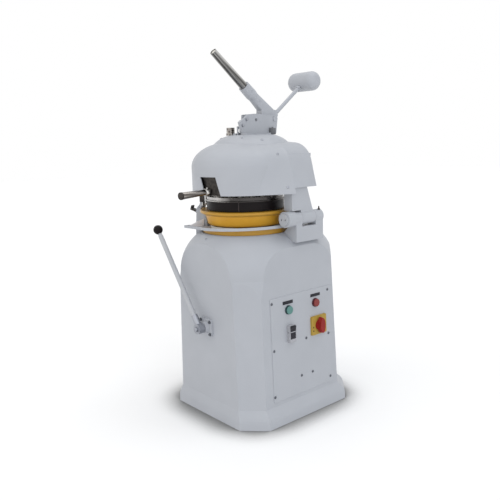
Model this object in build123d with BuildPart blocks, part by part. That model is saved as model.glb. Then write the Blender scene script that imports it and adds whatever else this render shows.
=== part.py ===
from build123d import *
import os
from math import asin, atan, cos, radians, sin, sqrt

# Semi-automatic dough divider rounder. Millimetres, +Z up, origin on the floor under the plinth.
# +X is the operator's right, -Y the front. The head stands over the table, hinged on the right.

# Plinth and cabinet
PLINTH_WIDTH = 606.0
PLINTH_DEPTH = 650.0
PLINTH_CUT = 90.0            # cut of each plan corner
PLINTH_TOP = 80.0
# rounded flare of the plinth: height, and share of the way in to the cabinet's foot
PLINTH_FLARE = ((28.0, 0.0), (40.0, 0.06), (50.0, 0.22), (60.0, 0.46), (70.0, 0.75), (PLINTH_TOP, 1.0))
PLINTH_FLOOR = 12.0
FOOT_HALF_WIDTH = 279.0      # cabinet outline where it meets the plinth
FRONT_Y = -315.0
FOOT_REAR_Y = 289.0
SIDE_TAPER = 0.0341          # each side leans in this much per millimetre of height
REAR_TAPER = 0.0295
CABINET_CUT = 81.0
CABINET_WALL = 6.0
RIM_Z = 790.0                # top of the cabinet's round shoulder
DECK_Z = 764.0               # floor of the pocket under the table
POCKET_R = 188.5
SHOULDER_R = 197.0           # rounding of the cabinet's top, seen from the side
SHOULDER_CENTRE_R = 98.0
SHOULDER_CENTRE_Z = 620.0
SHOULDER_REAR_Y = 60.0       # the round top runs straight back to here

# Rounding table
TABLE_Y = -76.0
ORBIT = 12.0                 # eccentric throw of the table
ORBIT_ANGLE = 135.0          # where the eccentric points at rest, measured from +X
IDLER_R = 105.0
PLATE_R = 200.0
PLATE_TOP = 885.0
PLATE_SEAT = 866.0
BOWL_TOP_R = 178.0
BOWL_FOOT_R = 167.0
BOWL_FOOT = 819.0
BOWL_ROUND = 15.0
PAN_R = 209.0
PAN_Z = 805.0                # underside of the pan on the table's axis
PAN_TILT = 2.4               # degrees the pan falls towards its beak side
PAN_HIGH_ANGLE = -15.0       # where its rim stands highest, measured from +X
PAN_RIM = 12.0
PAN_BEAK_R = 284.0
PAN_BEAK_ANGLE = 218.0
PAN_BEAK_ROOTS = (208.5, 256.0)
RUN = 0.05                   # radial running clearance of shafts

# Drive
SHAFT_R = 20.0
MOTOR_Y = 150.0
MOTOR_R = 82.0
MOUNT_Z = 470.0
BELT_Z = 546.0
DRIVEN_PITCH_R = 102.0
MOTOR_PITCH_R = 38.0

# Dividing chamber: knife carriage and press
RING_R = 169.0
RING_BORE_R = 160.0
RING_FOOT = 888.0
RING_TOP = 926.0
LIP_TOP = 932.0
LIP_R = 172.5
CELL_RADII = (0.0, 65.3, 113.1, 158.5)    # thirty-six cells of one area
CELL_COUNTS = (6, 12, 18)
BLADE = 2.0
BLADE_FOOT = 890.0
BLOCK_GAP = 1.2
BLOCK_FOOT = 893.0
BLOCK_TOP = 915.0
PRESS_Z = 994.0
PRESS_THICK = 12.0
PRESS_R = 142.0
RAM_R = 19.0

# Head
DOME_R = 228.0
DOME_FOOT = 957.0
DOME_SPRING_Z = 1070.0       # the wall starts to curve in here
DOME_TOP = 1172.0
DOME_FLAT_R = 65.0
DOME_WALL = 4.0
SEAM_Y = -40.0               # front cover meets the casting
FLANGE = 28.0                # bevelled flange round the cover
HOOD_REAR_Y = 100.0
HOOD_FOOT_HALF = 278.0
HOOD_TOP_HALF = 225.0
HOOD_SHOULDER_Z = 1157.0
HOOD_RIDGE_Z = 1178.0
HOOD_ROUND = 100.0
HOOD_FOOT = 981.0            # the casting ends higher than the cover's flange
HOOD_WALL = 7.0
WEB_Z = 1106.0
WEB_THICK = 12.0
CROWN_Y = -33.0
CROWN_TOP = 1200.0

# Head hinge, on the right
HINGE_X = 246.0
HINGE_Z = 852.0
KNUCKLE_R = 28.0
FRONT_BARREL_R = 33.0
HINGE_PIN_R = 12.0
HINGE_FRONT_Y = -80.0
HINGE_REAR_Y = 128.0
FOOT_KNUCKLE = (2.0, 82.0)   # span of the head's own knuckle along Y

# Press lever
PIVOT_Y = 84.0
PIVOT_Z = 1268.0
PIVOT_R = 11.0
LEVER_LIFT = 39.3            # degrees above level at rest
LEVER_RISE = 9.5             # the lever's line passes this far above the pivot
LEVER_LENGTH = 408.0
TUBE_R = 18.4                # in the socket, tapering to the tip
TUBE_TIP_R = 14.7
TUBE_WALL = 3.0
SOCKET_END = 204.0
ARM_DIP = 17.0               # degrees the short arm points below level at rest
COUNTER_LIFT = 37.7
COUNTER_REACH = 277.0
COUNTER_ROD_R = 8.5
YOKE_GAP = 40.0
YOKE_PLATE = 8.0

# Rounding lever, on the front
ROUNDING_X = 5.0
ROUNDING_Z = 400.0
ROUNDING_LEAN = 35.7         # degrees from upright, to the left
ROUNDING_LENGTH = 488.0
ROUNDING_Y = -354.0

# Left rest of the head
REST_ANGLE = 202.0
REST_TOP = 883.5
CLIP_PIVOT = (247.0, 866.0)  # distance from the table's axis, height
CLIP_OPEN = 70.0             # degrees swung out at rest

# Control panel, on the right face
PANEL_MID_Z = 318.0
BUTTON_Z = 478.0
START_Y = -88.0
STOP_Y = 75.0
ROCKER_Y = -82.0
ROCKER_Z = 383.0
ROCKER_TILT = 6.0            # degrees the rocker leans at rest
SWITCH_Y = 89.0
SWITCH_Z = 377.0

table_axis = Axis((0, TABLE_Y, 0), (0, 0, 1))
eccentric = (ORBIT * cos(radians(ORBIT_ANGLE)), TABLE_Y + ORBIT * sin(radians(ORBIT_ANGLE)))
lean = atan(SIDE_TAPER)


def half_width(z):
    return FOOT_HALF_WIDTH - SIDE_TAPER * (z - PLINTH_TOP)


def rear_y(z):
    return FOOT_REAR_Y - REAR_TAPER * (z - PLINTH_TOP)


def at_height(z):
    return Plane.XY.offset(z)


def facing_front(y):
    """Plane across the machine at y: its x is +X, its y is +Z, it faces the front."""
    return Plane.XZ.offset(-y)


def facing_right(x):
    """Plane along the machine at x: its x is +Y, its y is +Z, it faces right."""
    return Plane.YZ.offset(x)


def on_axis(z):
    """Level plane centred on the table's axis."""
    return Plane((0, TABLE_Y, z))


def on_panel(out=0.0):
    """Plane on the leaning right face: its x is +Y, its y runs up the face."""
    face = Plane((half_width(PANEL_MID_Z), 0, PANEL_MID_Z), x_dir=(0, 1, 0), z_dir=(cos(lean), 0, sin(lean)))
    return face.offset(out)


def up_panel(z):
    """Distance up the panel plane that reaches height z."""
    return (z - PANEL_MID_Z) / cos(lean)


def radial_plane(angle):
    """Upright plane through the table's axis: its x points outwards at the angle, its y is +Z."""
    turn = radians(angle)
    return Plane((0, TABLE_Y, 0), x_dir=(cos(turn), sin(turn), 0), z_dir=(sin(turn), -cos(turn), 0))


def cut_corner_outline(half, front, rear, cut):
    """Rectangle in plan with its four corners cut off."""
    corners = [(half, front + cut), (half, rear - cut), (half - cut, rear), (cut - half, rear),
               (-half, rear - cut), (-half, front + cut), (cut - half, front), (half - cut, front)]
    with BuildSketch() as outline:
        Polygon(*corners, align=None)
    return outline.sketch


def shoulder_outline(inset):
    """Half section of the cabinet's rounded top, from its axis out."""
    arc_r = SHOULDER_R - inset
    rim = RIM_Z - inset
    rim_r = SHOULDER_CENTRE_R + sqrt(arc_r**2 - (rim - SHOULDER_CENTRE_Z) ** 2)
    lift = asin((rim - SHOULDER_CENTRE_Z) / arc_r) / 2
    middle = (SHOULDER_CENTRE_R + arc_r * cos(lift), SHOULDER_CENTRE_Z + arc_r * sin(lift))
    side = SHOULDER_CENTRE_R + arc_r
    with BuildSketch() as outline:
        with BuildLine():
            ThreePointArc((side, SHOULDER_CENTRE_Z), middle, (rim_r, rim))
            Polyline((rim_r, rim), (0, rim), (0, 0), (side + SHOULDER_CENTRE_R, 0),
                     (side, SHOULDER_CENTRE_Z))
        make_face()
    return outline.sketch


def cabinet_form(inset):
    """The cabinet as a solid, drawn in by inset on its sides and top."""
    with BuildPart() as shoulder:
        for centre_y in (TABLE_Y, SHOULDER_REAR_Y):
            with BuildSketch(facing_front(centre_y)):
                add(shoulder_outline(inset))
            revolve(axis=Axis((0, centre_y, 0), (0, 0, 1)))
        with BuildSketch(facing_front(SHOULDER_REAR_Y)):
            add(shoulder_outline(inset))
            mirror(about=Plane.YZ)
        extrude(amount=SHOULDER_REAR_Y - TABLE_Y)
    with BuildPart() as form:
        for z in (PLINTH_TOP, RIM_Z + CABINET_WALL):
            with BuildSketch(at_height(z)):
                add(cut_corner_outline(half_width(z) - inset, FRONT_Y + inset, rear_y(z) - inset,
                                       CABINET_CUT))
        loft()
        add(shoulder.part, mode=Mode.INTERSECT)
    return form.part


def dome_form(inset):
    """The round dome as a solid of revolution about the table's axis."""
    with BuildPart() as form:
        with BuildSketch(facing_front(TABLE_Y)):
            with BuildLine():
                foot = (DOME_R - inset, DOME_FOOT - inset)
                spring = (DOME_R - inset, DOME_SPRING_Z)
                top = (DOME_FLAT_R, DOME_TOP - inset)
                Polyline((0, foot[1]), foot, spring)
                EllipticalCenterArc((DOME_FLAT_R, DOME_SPRING_Z), spring[0] - DOME_FLAT_R,
                                    top[1] - DOME_SPRING_Z, arc_size=90)
                Polyline(top, (0, top[1]), (0, foot[1]))
            make_face()
        revolve(axis=table_axis)
    return form.part


def hood_outline(inset, foot):
    """Arched section of the head's rear casting, across the machine."""
    side = HOOD_FOOT_HALF - inset
    slope = (HOOD_FOOT_HALF - HOOD_TOP_HALF) / (HOOD_SHOULDER_Z - DOME_FOOT)
    low = side + slope * (DOME_FOOT - foot)
    high = HOOD_TOP_HALF - inset
    with BuildSketch() as outline:
        Polygon((-low, foot), (low, foot), (high, HOOD_SHOULDER_Z - inset), (0, HOOD_RIDGE_Z - inset),
                (-high, HOOD_SHOULDER_Z - inset), align=None)
        shoulders = outline.vertices().sort_by(Axis.Y)[2:4]
        fillet(shoulders, HOOD_ROUND - inset)
    return outline.sketch


# Plinth: a cast octagonal tray with a flared top edge
def flare_outline(share):
    """Plinth outline drawn in towards the cabinet's foot by a share of the way."""
    outer = (PLINTH_WIDTH / 2, -PLINTH_DEPTH / 2, PLINTH_DEPTH / 2, PLINTH_CUT)
    foot = (FOOT_HALF_WIDTH, FRONT_Y, FOOT_REAR_Y, CABINET_CUT)
    return cut_corner_outline(*[a + share * (b - a) for a, b in zip(outer, foot)])


with BuildPart() as plinth:
    with BuildSketch():
        add(flare_outline(0))
    extrude(amount=PLINTH_FLARE[0][0])
    for (low, low_share), (high, high_share) in zip(PLINTH_FLARE, PLINTH_FLARE[1:]):
        for z, share in ((low, low_share), (high, high_share)):
            with BuildSketch(at_height(z)):
                add(flare_outline(share))
        loft()
    with BuildSketch(at_height(PLINTH_FLOOR)):
        add(cut_corner_outline(FOOT_HALF_WIDTH - 16, FRONT_Y + 16, FOOT_REAR_Y - 16, CABINET_CUT - 10))
    extrude(amount=PLINTH_TOP, mode=Mode.SUBTRACT)

# Cabinet: a tapered octagonal shell whose top is turned round
cabinet_solid = cabinet_form(0)
with BuildPart() as cavity:
    add(cabinet_form(CABINET_WALL))
    with BuildSketch(on_axis(DECK_Z - CABINET_WALL)):
        Circle(POCKET_R + CABINET_WALL)
    extrude(amount=RIM_Z - DECK_Z + 20, mode=Mode.SUBTRACT)
cabinet_cavity = cavity.part
PANEL_OPENING = (316.0, 370.0)
VENT_COUNT = 9
with BuildPart() as cabinet_shell:
    add(cabinet_solid)
    add(cabinet_cavity, mode=Mode.SUBTRACT)
    with BuildSketch(facing_front(FOOT_REAR_Y + 5)):
        with Locations((0, 230)):
            with GridLocations(0, 22, 1, VENT_COUNT):
                SlotOverall(160, 8)
        with Locations((170, 130)):
            Circle(10.25)
    extrude(amount=35, mode=Mode.SUBTRACT)
    with BuildSketch(on_axis(DECK_Z)):
        Circle(POCKET_R)
    extrude(amount=RIM_Z - DECK_Z + 5, mode=Mode.SUBTRACT)
    with BuildSketch(on_panel(-40)):
        with Locations((-4, 0)):
            RectangleRounded(*PANEL_OPENING, 12)
    extrude(amount=60, mode=Mode.SUBTRACT)
    with BuildSketch(on_axis(DECK_Z + 1)):
        Circle(56)
        with PolarLocations(IDLER_R, 2):
            Circle(15)
    extrude(amount=-2 * CABINET_WALL, mode=Mode.SUBTRACT)
    with BuildSketch(facing_front(FRONT_Y + 20)):
        with Locations((ROUNDING_X, ROUNDING_Z)):
            Circle(13)
    extrude(amount=40, mode=Mode.SUBTRACT)

# Ring under the table, and the tilted flour pan with its pouring beak
pan_fall = sin(radians(PAN_TILT))
pan_high = radians(PAN_HIGH_ANGLE)
pan_up = (-pan_fall * cos(pan_high), -pan_fall * sin(pan_high), cos(radians(PAN_TILT)))
pan_plane = Plane((0, TABLE_Y, PAN_Z), x_dir=(1, 0, pan_fall * cos(pan_high)), z_dir=pan_up)
with BuildPart() as deck_ring:
    with BuildSketch(on_axis(DECK_Z)):
        Circle(POCKET_R - 0.5)
        Circle(164, mode=Mode.SUBTRACT)
    extrude(amount=60)
    split(bisect_by=pan_plane, keep=Keep.BOTTOM)


def pan_outline(inset):
    """Round pan with its beak, in the pan's own plane."""
    def at(angle, radius):
        return (radius * cos(radians(angle)), radius * sin(radians(angle)))

    with BuildSketch() as outline:
        Circle(PAN_R)
        Polygon(at(PAN_BEAK_ANGLE, PAN_BEAK_R), *[at(angle, 0.985 * PAN_R) for angle in PAN_BEAK_ROOTS],
                align=None)
        if inset:
            offset(amount=-inset)
    return outline.sketch


with BuildPart() as flour_pan:
    with BuildSketch(pan_plane):
        add(pan_outline(0))
    extrude(amount=PAN_RIM)
    with BuildSketch(pan_plane.offset(3)):
        add(pan_outline(4))
    extrude(amount=PAN_RIM, mode=Mode.SUBTRACT)
    with BuildSketch(pan_plane):
        Circle(146)
    extrude(amount=4, mode=Mode.SUBTRACT)

# Bearing housing hung under the deck, with bosses for the two idler cranks
HOUSING_TOP = DECK_Z - CABINET_WALL
with BuildPart() as bearing_housing:
    with BuildSketch(on_axis(HOUSING_TOP)):
        Circle(132)
    extrude(amount=-14)
    with BuildSketch(on_axis(HOUSING_TOP)):
        Circle(54)
        with PolarLocations(IDLER_R, 2):
            Circle(20)
    extrude(amount=-40)
    with BuildSketch(on_axis(HOUSING_TOP)):
        Circle(54)
    extrude(amount=-168)
    with BuildSketch(on_axis(HOUSING_TOP)):
        Circle(26)
    extrude(amount=-168, mode=Mode.SUBTRACT)
    with BuildSketch(on_axis(HOUSING_TOP)):
        with PolarLocations(IDLER_R, 2):
            Circle(10 + RUN)
    extrude(amount=-40, mode=Mode.SUBTRACT)
    for seat in (HOUSING_TOP - 18, HOUSING_TOP - 168):
        with BuildSketch(on_axis(seat)):
            Circle(40)
        extrude(amount=18, mode=Mode.SUBTRACT)
    with BuildSketch(on_axis(HOUSING_TOP)):
        with PolarLocations(118, 6, start_angle=30):
            Circle(5.5)
    extrude(amount=-14, mode=Mode.SUBTRACT)

with BuildPart() as main_bearings:
    for seat in (HOUSING_TOP - 18, HOUSING_TOP - 168):
        with BuildSketch(facing_front(TABLE_Y)):
            with BuildLine():
                Polyline((SHAFT_R + RUN, seat), (39.98, seat), (39.98, seat + 18), (34, seat + 18),
                         (34, seat + 16), (26, seat + 16), (26, seat + 18), (SHAFT_R + RUN, seat + 18),
                         close=True)
            make_face()
        revolve(axis=table_axis)

# Crank that orbits the table: main shaft, disc and eccentric pin
with BuildPart() as main_shaft:
    with BuildSketch(on_axis(512)):
        Circle(SHAFT_R)
    extrude(amount=770 - 512)
    with BuildSketch(on_axis(768)):
        Circle(44)
    extrude(amount=18)
    with BuildSketch(Plane((*eccentric, 786))):
        Circle(16)
    extrude(amount=42)


def pulley(axis_y, pitch_r, bore_r, mid_z):
    """V-belt pulley about an upright axis: rim with one groove, web and hub."""
    rim = pitch_r + 8
    root = pitch_r - 8
    with BuildPart() as wheel:
        with BuildSketch(facing_front(axis_y)):
            with BuildLine():
                Polyline((bore_r, mid_z - 16), (rim, mid_z - 16), (rim, mid_z - 10.2), (root, mid_z - 5.6),
                         (root, mid_z + 5.6), (rim, mid_z + 10.2), (rim, mid_z + 16), (bore_r, mid_z + 16),
                         close=True)
            make_face()
        revolve(axis=Axis((0, axis_y, 0), (0, 0, 1)))
    return wheel.part


with BuildPart() as driven_pulley:
    add(pulley(TABLE_Y, DRIVEN_PITCH_R, SHAFT_R, BELT_Z))
    for side in (-16, 6):
        with BuildSketch(on_axis(BELT_Z + side)):
            Circle(82)
            Circle(36, mode=Mode.SUBTRACT)
        extrude(amount=10, mode=Mode.SUBTRACT)

MOTOR_SHAFT_R = 14.0
with BuildPart() as motor_pulley:
    add(pulley(MOTOR_Y, MOTOR_PITCH_R, MOTOR_SHAFT_R, BELT_Z))

with BuildPart() as motor_shaft:
    with BuildSketch(Plane((0, MOTOR_Y, 300))):
        Circle(MOTOR_SHAFT_R)
    extrude(amount=BELT_Z + 24 - 300)

# V-belt: a trapezoid run round both pulleys
belt_turn = asin((DRIVEN_PITCH_R - MOTOR_PITCH_R) / (MOTOR_Y - TABLE_Y))
with BuildPart() as drive_belt:
    with BuildLine() as belt_run:
        start = (DRIVEN_PITCH_R * cos(belt_turn), TABLE_Y + DRIVEN_PITCH_R * sin(belt_turn), BELT_Z)
        end = (MOTOR_PITCH_R * cos(belt_turn), MOTOR_Y + MOTOR_PITCH_R * sin(belt_turn), BELT_Z)
        Line(start, end)
        ThreePointArc(end, (0, MOTOR_Y + MOTOR_PITCH_R, BELT_Z), (-end[0], end[1], BELT_Z))
        Line((-end[0], end[1], BELT_Z), (-start[0], start[1], BELT_Z))
        ThreePointArc((-start[0], start[1], BELT_Z), (0, TABLE_Y - DRIVEN_PITCH_R, BELT_Z), start)
    run_direction = (end[0] - start[0], end[1] - start[1], 0)
    with BuildSketch(Plane(start, x_dir=(cos(belt_turn), sin(belt_turn), 0), z_dir=run_direction)):
        Polygon((4, -8), (4, 8), (-6, 5), (-6, -5), align=None)
    sweep(path=belt_run.wires()[0])

# Motor under its mounting plate, and the starter box on the plinth floor
with BuildPart() as motor_housing:
    with BuildSketch(Plane((0, MOTOR_Y, 236))):
        Circle(MOTOR_R - 8)
        with PolarLocations(MOTOR_R - 6, 24):
            Rectangle(12, 4)
    extrude(amount=MOUNT_Z - 12 - 236)
    with BuildSketch(Plane((0, MOTOR_Y, MOUNT_Z))):
        Circle(100)
    extrude(amount=-12)
    with BuildSketch(Plane((0, MOTOR_Y, 236))):
        Circle(MOTOR_R)
    extrude(amount=-40)
    with BuildSketch(facing_right(MOTOR_R - 10)):
        with Locations((MOTOR_Y, 380)):
            Rectangle(90, 80)
    extrude(amount=44)
    with BuildSketch(Plane((0, MOTOR_Y, MOUNT_Z))):
        Circle(MOTOR_SHAFT_R + RUN)
    extrude(amount=-180, mode=Mode.SUBTRACT)

with BuildPart() as motor_mount:
    with BuildSketch(at_height(MOUNT_Z)):
        with Locations((0, 190)):
            Rectangle(300, 240)
        with Locations((0, MOTOR_Y)):
            Circle(60, mode=Mode.SUBTRACT)
    extrude(amount=12)
    with BuildSketch(at_height(MOUNT_Z)):
        with Locations((0, 280)):
            Rectangle(300, 48)
    extrude(amount=-60)
    add(cabinet_cavity, mode=Mode.INTERSECT)
    with BuildSketch(Plane((0, MOTOR_Y, MOUNT_Z))):
        Circle(104)
    extrude(amount=-60, mode=Mode.SUBTRACT)

with BuildPart() as control_box:
    with BuildSketch(at_height(PLINTH_FLOOR)):
        with Locations((-150, -60)):
            RectangleRounded(110, 170, 6)
    extrude(amount=230)
    fillet(control_box.edges().group_by(Axis.Z)[-1], 4)
    with BuildSketch(at_height(PLINTH_FLOOR + 4)):
        with Locations((-150, -60)):
            RectangleRounded(102, 162, 3)
    extrude(amount=222, mode=Mode.SUBTRACT)
    with BuildSketch(at_height(PLINTH_FLOOR + 220)):
        with Locations((-150, -60)):
            Circle(14)
    extrude(amount=20, mode=Mode.SUBTRACT)

with BuildPart() as cable_gland:
    wall_y = rear_y(130)
    with BuildSketch(facing_front(wall_y + 22)):
        with Locations((170, 130)):
            Circle(10)
    extrude(amount=44)
    with BuildSketch(facing_front(wall_y + 12)):
        with Locations((170, 130)):
            RegularPolygon(15, 6)
    extrude(amount=11.4)
    with BuildSketch(facing_front(wall_y + 22)):
        with Locations((170, 130)):
            Circle(6)
    extrude(amount=44, mode=Mode.SUBTRACT)

# Table: carrier on the eccentric, yellow bowl, loose dough plate
idler_spots = [(x, TABLE_Y) for x in (IDLER_R, -IDLER_R)]
shift = (eccentric[0], eccentric[1] - TABLE_Y)
eccentric_axis = Axis((*eccentric, 0), (0, 0, 1))
with BuildPart() as table_carrier:
    with BuildSketch(Plane((*eccentric, 832))):
        Circle(140)
    extrude(amount=14)
    with BuildSketch(Plane((*eccentric, 832))):
        Circle(34)
        with Locations((IDLER_R, 0), (-IDLER_R, 0)):
            Circle(19)
    extrude(amount=-42)
    with BuildSketch(Plane((*eccentric, 790))):
        Circle(16 + RUN)
        with Locations((IDLER_R, 0), (-IDLER_R, 0)):
            Circle(10 + RUN)
    extrude(amount=40, mode=Mode.SUBTRACT)


def idler_crank(spot):
    """Small crank that keeps the table from turning: two pins on a disc."""
    with BuildPart() as crank:
        with BuildSketch(Plane((*spot, 720))):
            Circle(10)
        extrude(amount=50)
        with BuildSketch(Plane((*spot, 768))):
            Circle(25)
        extrude(amount=12)
        with BuildSketch(Plane((spot[0] + shift[0], spot[1] + shift[1], 780))):
            Circle(10)
        extrude(amount=44)
    return crank.part


with BuildPart() as idler_crank_right:
    add(idler_crank(idler_spots[0]))

with BuildPart() as idler_crank_left:
    add(idler_crank(idler_spots[1]))

# Bowl wall, drawn as one closed section about the eccentric
with BuildPart() as table_bowl:
    with BuildSketch(facing_front(eccentric[1])) as bowl_section:
        with Locations((eccentric[0], 0)):
            Polygon((BOWL_FOOT_R, BOWL_FOOT), (BOWL_TOP_R, PLATE_SEAT), (166, PLATE_SEAT), (164, 852),
                    (90, 852), (90, 846), (150, 846), (147, BOWL_FOOT), align=None)
        foot_corner = bowl_section.vertices().group_by(Axis.Y)[0].sort_by(Axis.X)[-1]
        fillet(foot_corner, BOWL_ROUND)
    revolve(axis=eccentric_axis)

with BuildPart() as dough_plate:
    with BuildSketch(facing_front(eccentric[1])):
        with Locations((eccentric[0], 0)):
            Polygon((0, PLATE_SEAT), (188, PLATE_SEAT), (192, 870), (196, 871), (PLATE_R, 874),
                    (PLATE_R, 882), (197, PLATE_TOP), (0, PLATE_TOP), align=None)
    revolve(axis=eccentric_axis)

# Knife carriage: black chamber ring, bright lip, dividing knife, carrier with guide pins, handle
with BuildPart() as chamber_ring:
    with BuildSketch(on_axis(RING_FOOT)):
        Circle(RING_R)
        Circle(RING_BORE_R, mode=Mode.SUBTRACT)
    extrude(amount=RING_TOP - RING_FOOT)

with BuildPart() as chamber_lip:
    with BuildSketch(on_axis(RING_TOP)):
        Circle(LIP_R)
        Circle(RING_BORE_R, mode=Mode.SUBTRACT)
    extrude(amount=LIP_TOP - RING_TOP)
    fillet(chamber_lip.edges().sort_by(SortBy.LENGTH)[-2:], 2)

with BuildPart() as knife_grid:
    with BuildSketch(on_axis(BLADE_FOOT)):
        for radius in reversed(CELL_RADII[1:]):
            Circle(radius + BLADE / 2)
            Circle(radius - BLADE / 2, mode=Mode.SUBTRACT)
        for inner, outer, count in zip(CELL_RADII, CELL_RADII[1:], CELL_COUNTS):
            with PolarLocations((inner + outer) / 2, count):
                Rectangle(outer - inner, BLADE)
    extrude(amount=LIP_TOP - BLADE_FOOT)

GUIDE_R = 166.5
GUIDE_PIN_R = 6.0
with BuildPart() as knife_carrier:
    with BuildSketch(on_axis(LIP_TOP)):
        Circle(LIP_R - 4.5)
        Circle(RING_BORE_R, mode=Mode.SUBTRACT)
    extrude(amount=12)
    with BuildSketch(on_axis(LIP_TOP + 10)):
        with PolarLocations(GUIDE_R, 2):
            Circle(GUIDE_PIN_R)
    extrude(amount=WEB_Z + 4 - LIP_TOP - 10)

HANDLE_X = 24.0
HANDLE_R = 12.0
CARRIER_TOP = LIP_TOP + 12
handle_root = Vector(HANDLE_X, -286, 974)
handle_tip = Vector(HANDLE_X, -436, 965.5)
handle_line = handle_tip - handle_root
with BuildPart() as cutting_handle:
    with BuildSketch(facing_right(HANDLE_X - 9)):
        Polygon((TABLE_Y - 161, CARRIER_TOP), (TABLE_Y - 167, CARRIER_TOP), (-292, 962), (-292, 986),
                (TABLE_Y - 161, 966), align=None)
    extrude(amount=18)
    with BuildSketch(Plane(handle_root, z_dir=handle_line)):
        Circle(HANDLE_R)
    extrude(amount=handle_line.length)
    fillet(cutting_handle.edges().filter_by(GeomType.CIRCLE).sort_by(Axis.Y)[0], 1.5)

# Press: ram with a slotted clevis, press plate and thirty-six press blocks
arm = (PIVOT_Y - TABLE_Y) / cos(radians(ARM_DIP))
PIN_Z = PIVOT_Z - arm * sin(radians(ARM_DIP))
RAM_PIN_R = 8.0
with BuildPart() as ram_shaft:
    with BuildSketch(on_axis(PRESS_Z + PRESS_THICK)):
        Circle(RAM_R)
    extrude(amount=PIN_Z - 32 - PRESS_Z - PRESS_THICK)
    with BuildSketch(on_axis(PIN_Z - 32)):
        with Locations((0, -2.5)):
            Rectangle(33, 41)
    extrude(amount=50)
    with BuildSketch(facing_right(-9)):
        with Locations((TABLE_Y, PIN_Z + 3)):
            Rectangle(120, 60)
    extrude(amount=18, mode=Mode.SUBTRACT)
    with BuildSketch(facing_right(-20)):
        with Locations((TABLE_Y - 3.5, PIN_Z)):
            SlotOverall(34, 2 * RAM_PIN_R + 3)
    extrude(amount=40, mode=Mode.SUBTRACT)

with BuildPart() as press_plate:
    with BuildSketch(on_axis(PRESS_Z)):
        Circle(PRESS_R)
    extrude(amount=PRESS_THICK)
    chamfer(press_plate.edges().group_by(Axis.Z)[-1], 3)

with BuildPart() as press_blocks:
    edge = BLADE / 2 + BLOCK_GAP
    for inner, outer, count in zip(CELL_RADII, CELL_RADII[1:], CELL_COUNTS):
        with BuildSketch(on_axis(BLOCK_FOOT)):
            Circle(outer - edge)
            if inner:
                Circle(inner + edge, mode=Mode.SUBTRACT)
            with PolarLocations(outer / 2, count):
                Rectangle(outer + 4, 2 * edge, mode=Mode.SUBTRACT)
        extrude(amount=BLOCK_TOP - BLOCK_FOOT)
        with BuildSketch(on_axis(BLOCK_TOP - 1)):
            with PolarLocations((inner + outer) / 2, count, start_angle=180 / count):
                Circle(5)
        extrude(amount=PRESS_Z - BLOCK_TOP + 1)

# Head casting: arched hood, web, hinge column and knuckle in one
hood_cavity_foot = DOME_FOOT - 20
BOSS_HEIGHT = 54.0           # ram guide on top of the web
with BuildPart() as head_casting:
    with BuildSketch(facing_front(HOOD_REAR_Y)):
        add(hood_outline(0, HOOD_FOOT))
    extrude(amount=HOOD_REAR_Y - SEAM_Y)
    rear_edges = head_casting.faces().sort_by(Axis.Y)[-1].edges()
    fillet(rear_edges.sort_by(Axis.Z)[1:], 20)
    with BuildSketch(facing_front(HOOD_REAR_Y - HOOD_WALL)):
        add(hood_outline(HOOD_WALL, hood_cavity_foot))
    extrude(amount=HOOD_REAR_Y - HOOD_WALL - SEAM_Y + 1, mode=Mode.SUBTRACT)
    # level web that guides the ram and the knife
    with BuildSketch(at_height(WEB_Z)):
        with Locations((0, TABLE_Y)):
            Circle(190)
        with Locations((0, (TABLE_Y + HOOD_REAR_Y - 4) / 2)):
            Rectangle(380, HOOD_REAR_Y - 4 - TABLE_Y)
        with Locations((0, (SEAM_Y + HOOD_REAR_Y) / 2)):
            Rectangle(462, HOOD_REAR_Y - SEAM_Y - 8)
    extrude(amount=WEB_THICK)
    with BuildSketch(on_axis(WEB_Z)):
        Circle(44)
    extrude(amount=BOSS_HEIGHT)
    # hinge column, running down to the knuckle
    with BuildSketch(facing_right(216)):
        Polygon((-50, 886), (2, 886), (2, HINGE_Z), (82, HINGE_Z), (82, 872), (72, 886), (38, 985),
                (38, 1010), (-40, 1010), (-40, DOME_FOOT), (-50, DOME_FOOT), align=None)
    extrude(amount=46)
    with BuildSketch(facing_front(FOOT_KNUCKLE[1])):
        with Locations((HINGE_X, HINGE_Z)):
            Circle(KNUCKLE_R)
    extrude(amount=FOOT_KNUCKLE[1] - FOOT_KNUCKLE[0])
    with BuildSketch(facing_front(FOOT_KNUCKLE[1])):
        with Locations((HINGE_X, HINGE_Z)):
            Circle(HINGE_PIN_R + RUN)
    extrude(amount=FOOT_KNUCKLE[1] - FOOT_KNUCKLE[0], mode=Mode.SUBTRACT)
    with BuildSketch(on_axis(WEB_Z)):
        Circle(32)
        with PolarLocations(GUIDE_R, 2):
            Circle(GUIDE_PIN_R + RUN)
    extrude(amount=BOSS_HEIGHT, mode=Mode.SUBTRACT)

# Front cover: half dome with a flange and the slanted slot of the knife handle
dome_solid = dome_form(0)
with BuildPart() as front_cover:
    add(dome_solid)
    split(bisect_by=facing_front(SEAM_Y), keep=Keep.TOP)
    with BuildSketch(facing_front(SEAM_Y)):
        add(hood_outline(0, DOME_FOOT))
    extrude(amount=FLANGE, taper=32)
    add(dome_form(DOME_WALL), mode=Mode.SUBTRACT)
    with BuildSketch(facing_front(TABLE_Y)):
        Polygon((-18, 1033), (70, 1033), (92, DOME_FOOT - 2), (12, DOME_FOOT - 2), align=None)
    extrude(amount=DOME_R + 10, mode=Mode.SUBTRACT)
    with BuildSketch(on_axis(DOME_TOP - 20)):
        Circle(34)
    extrude(amount=40, mode=Mode.SUBTRACT)

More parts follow.
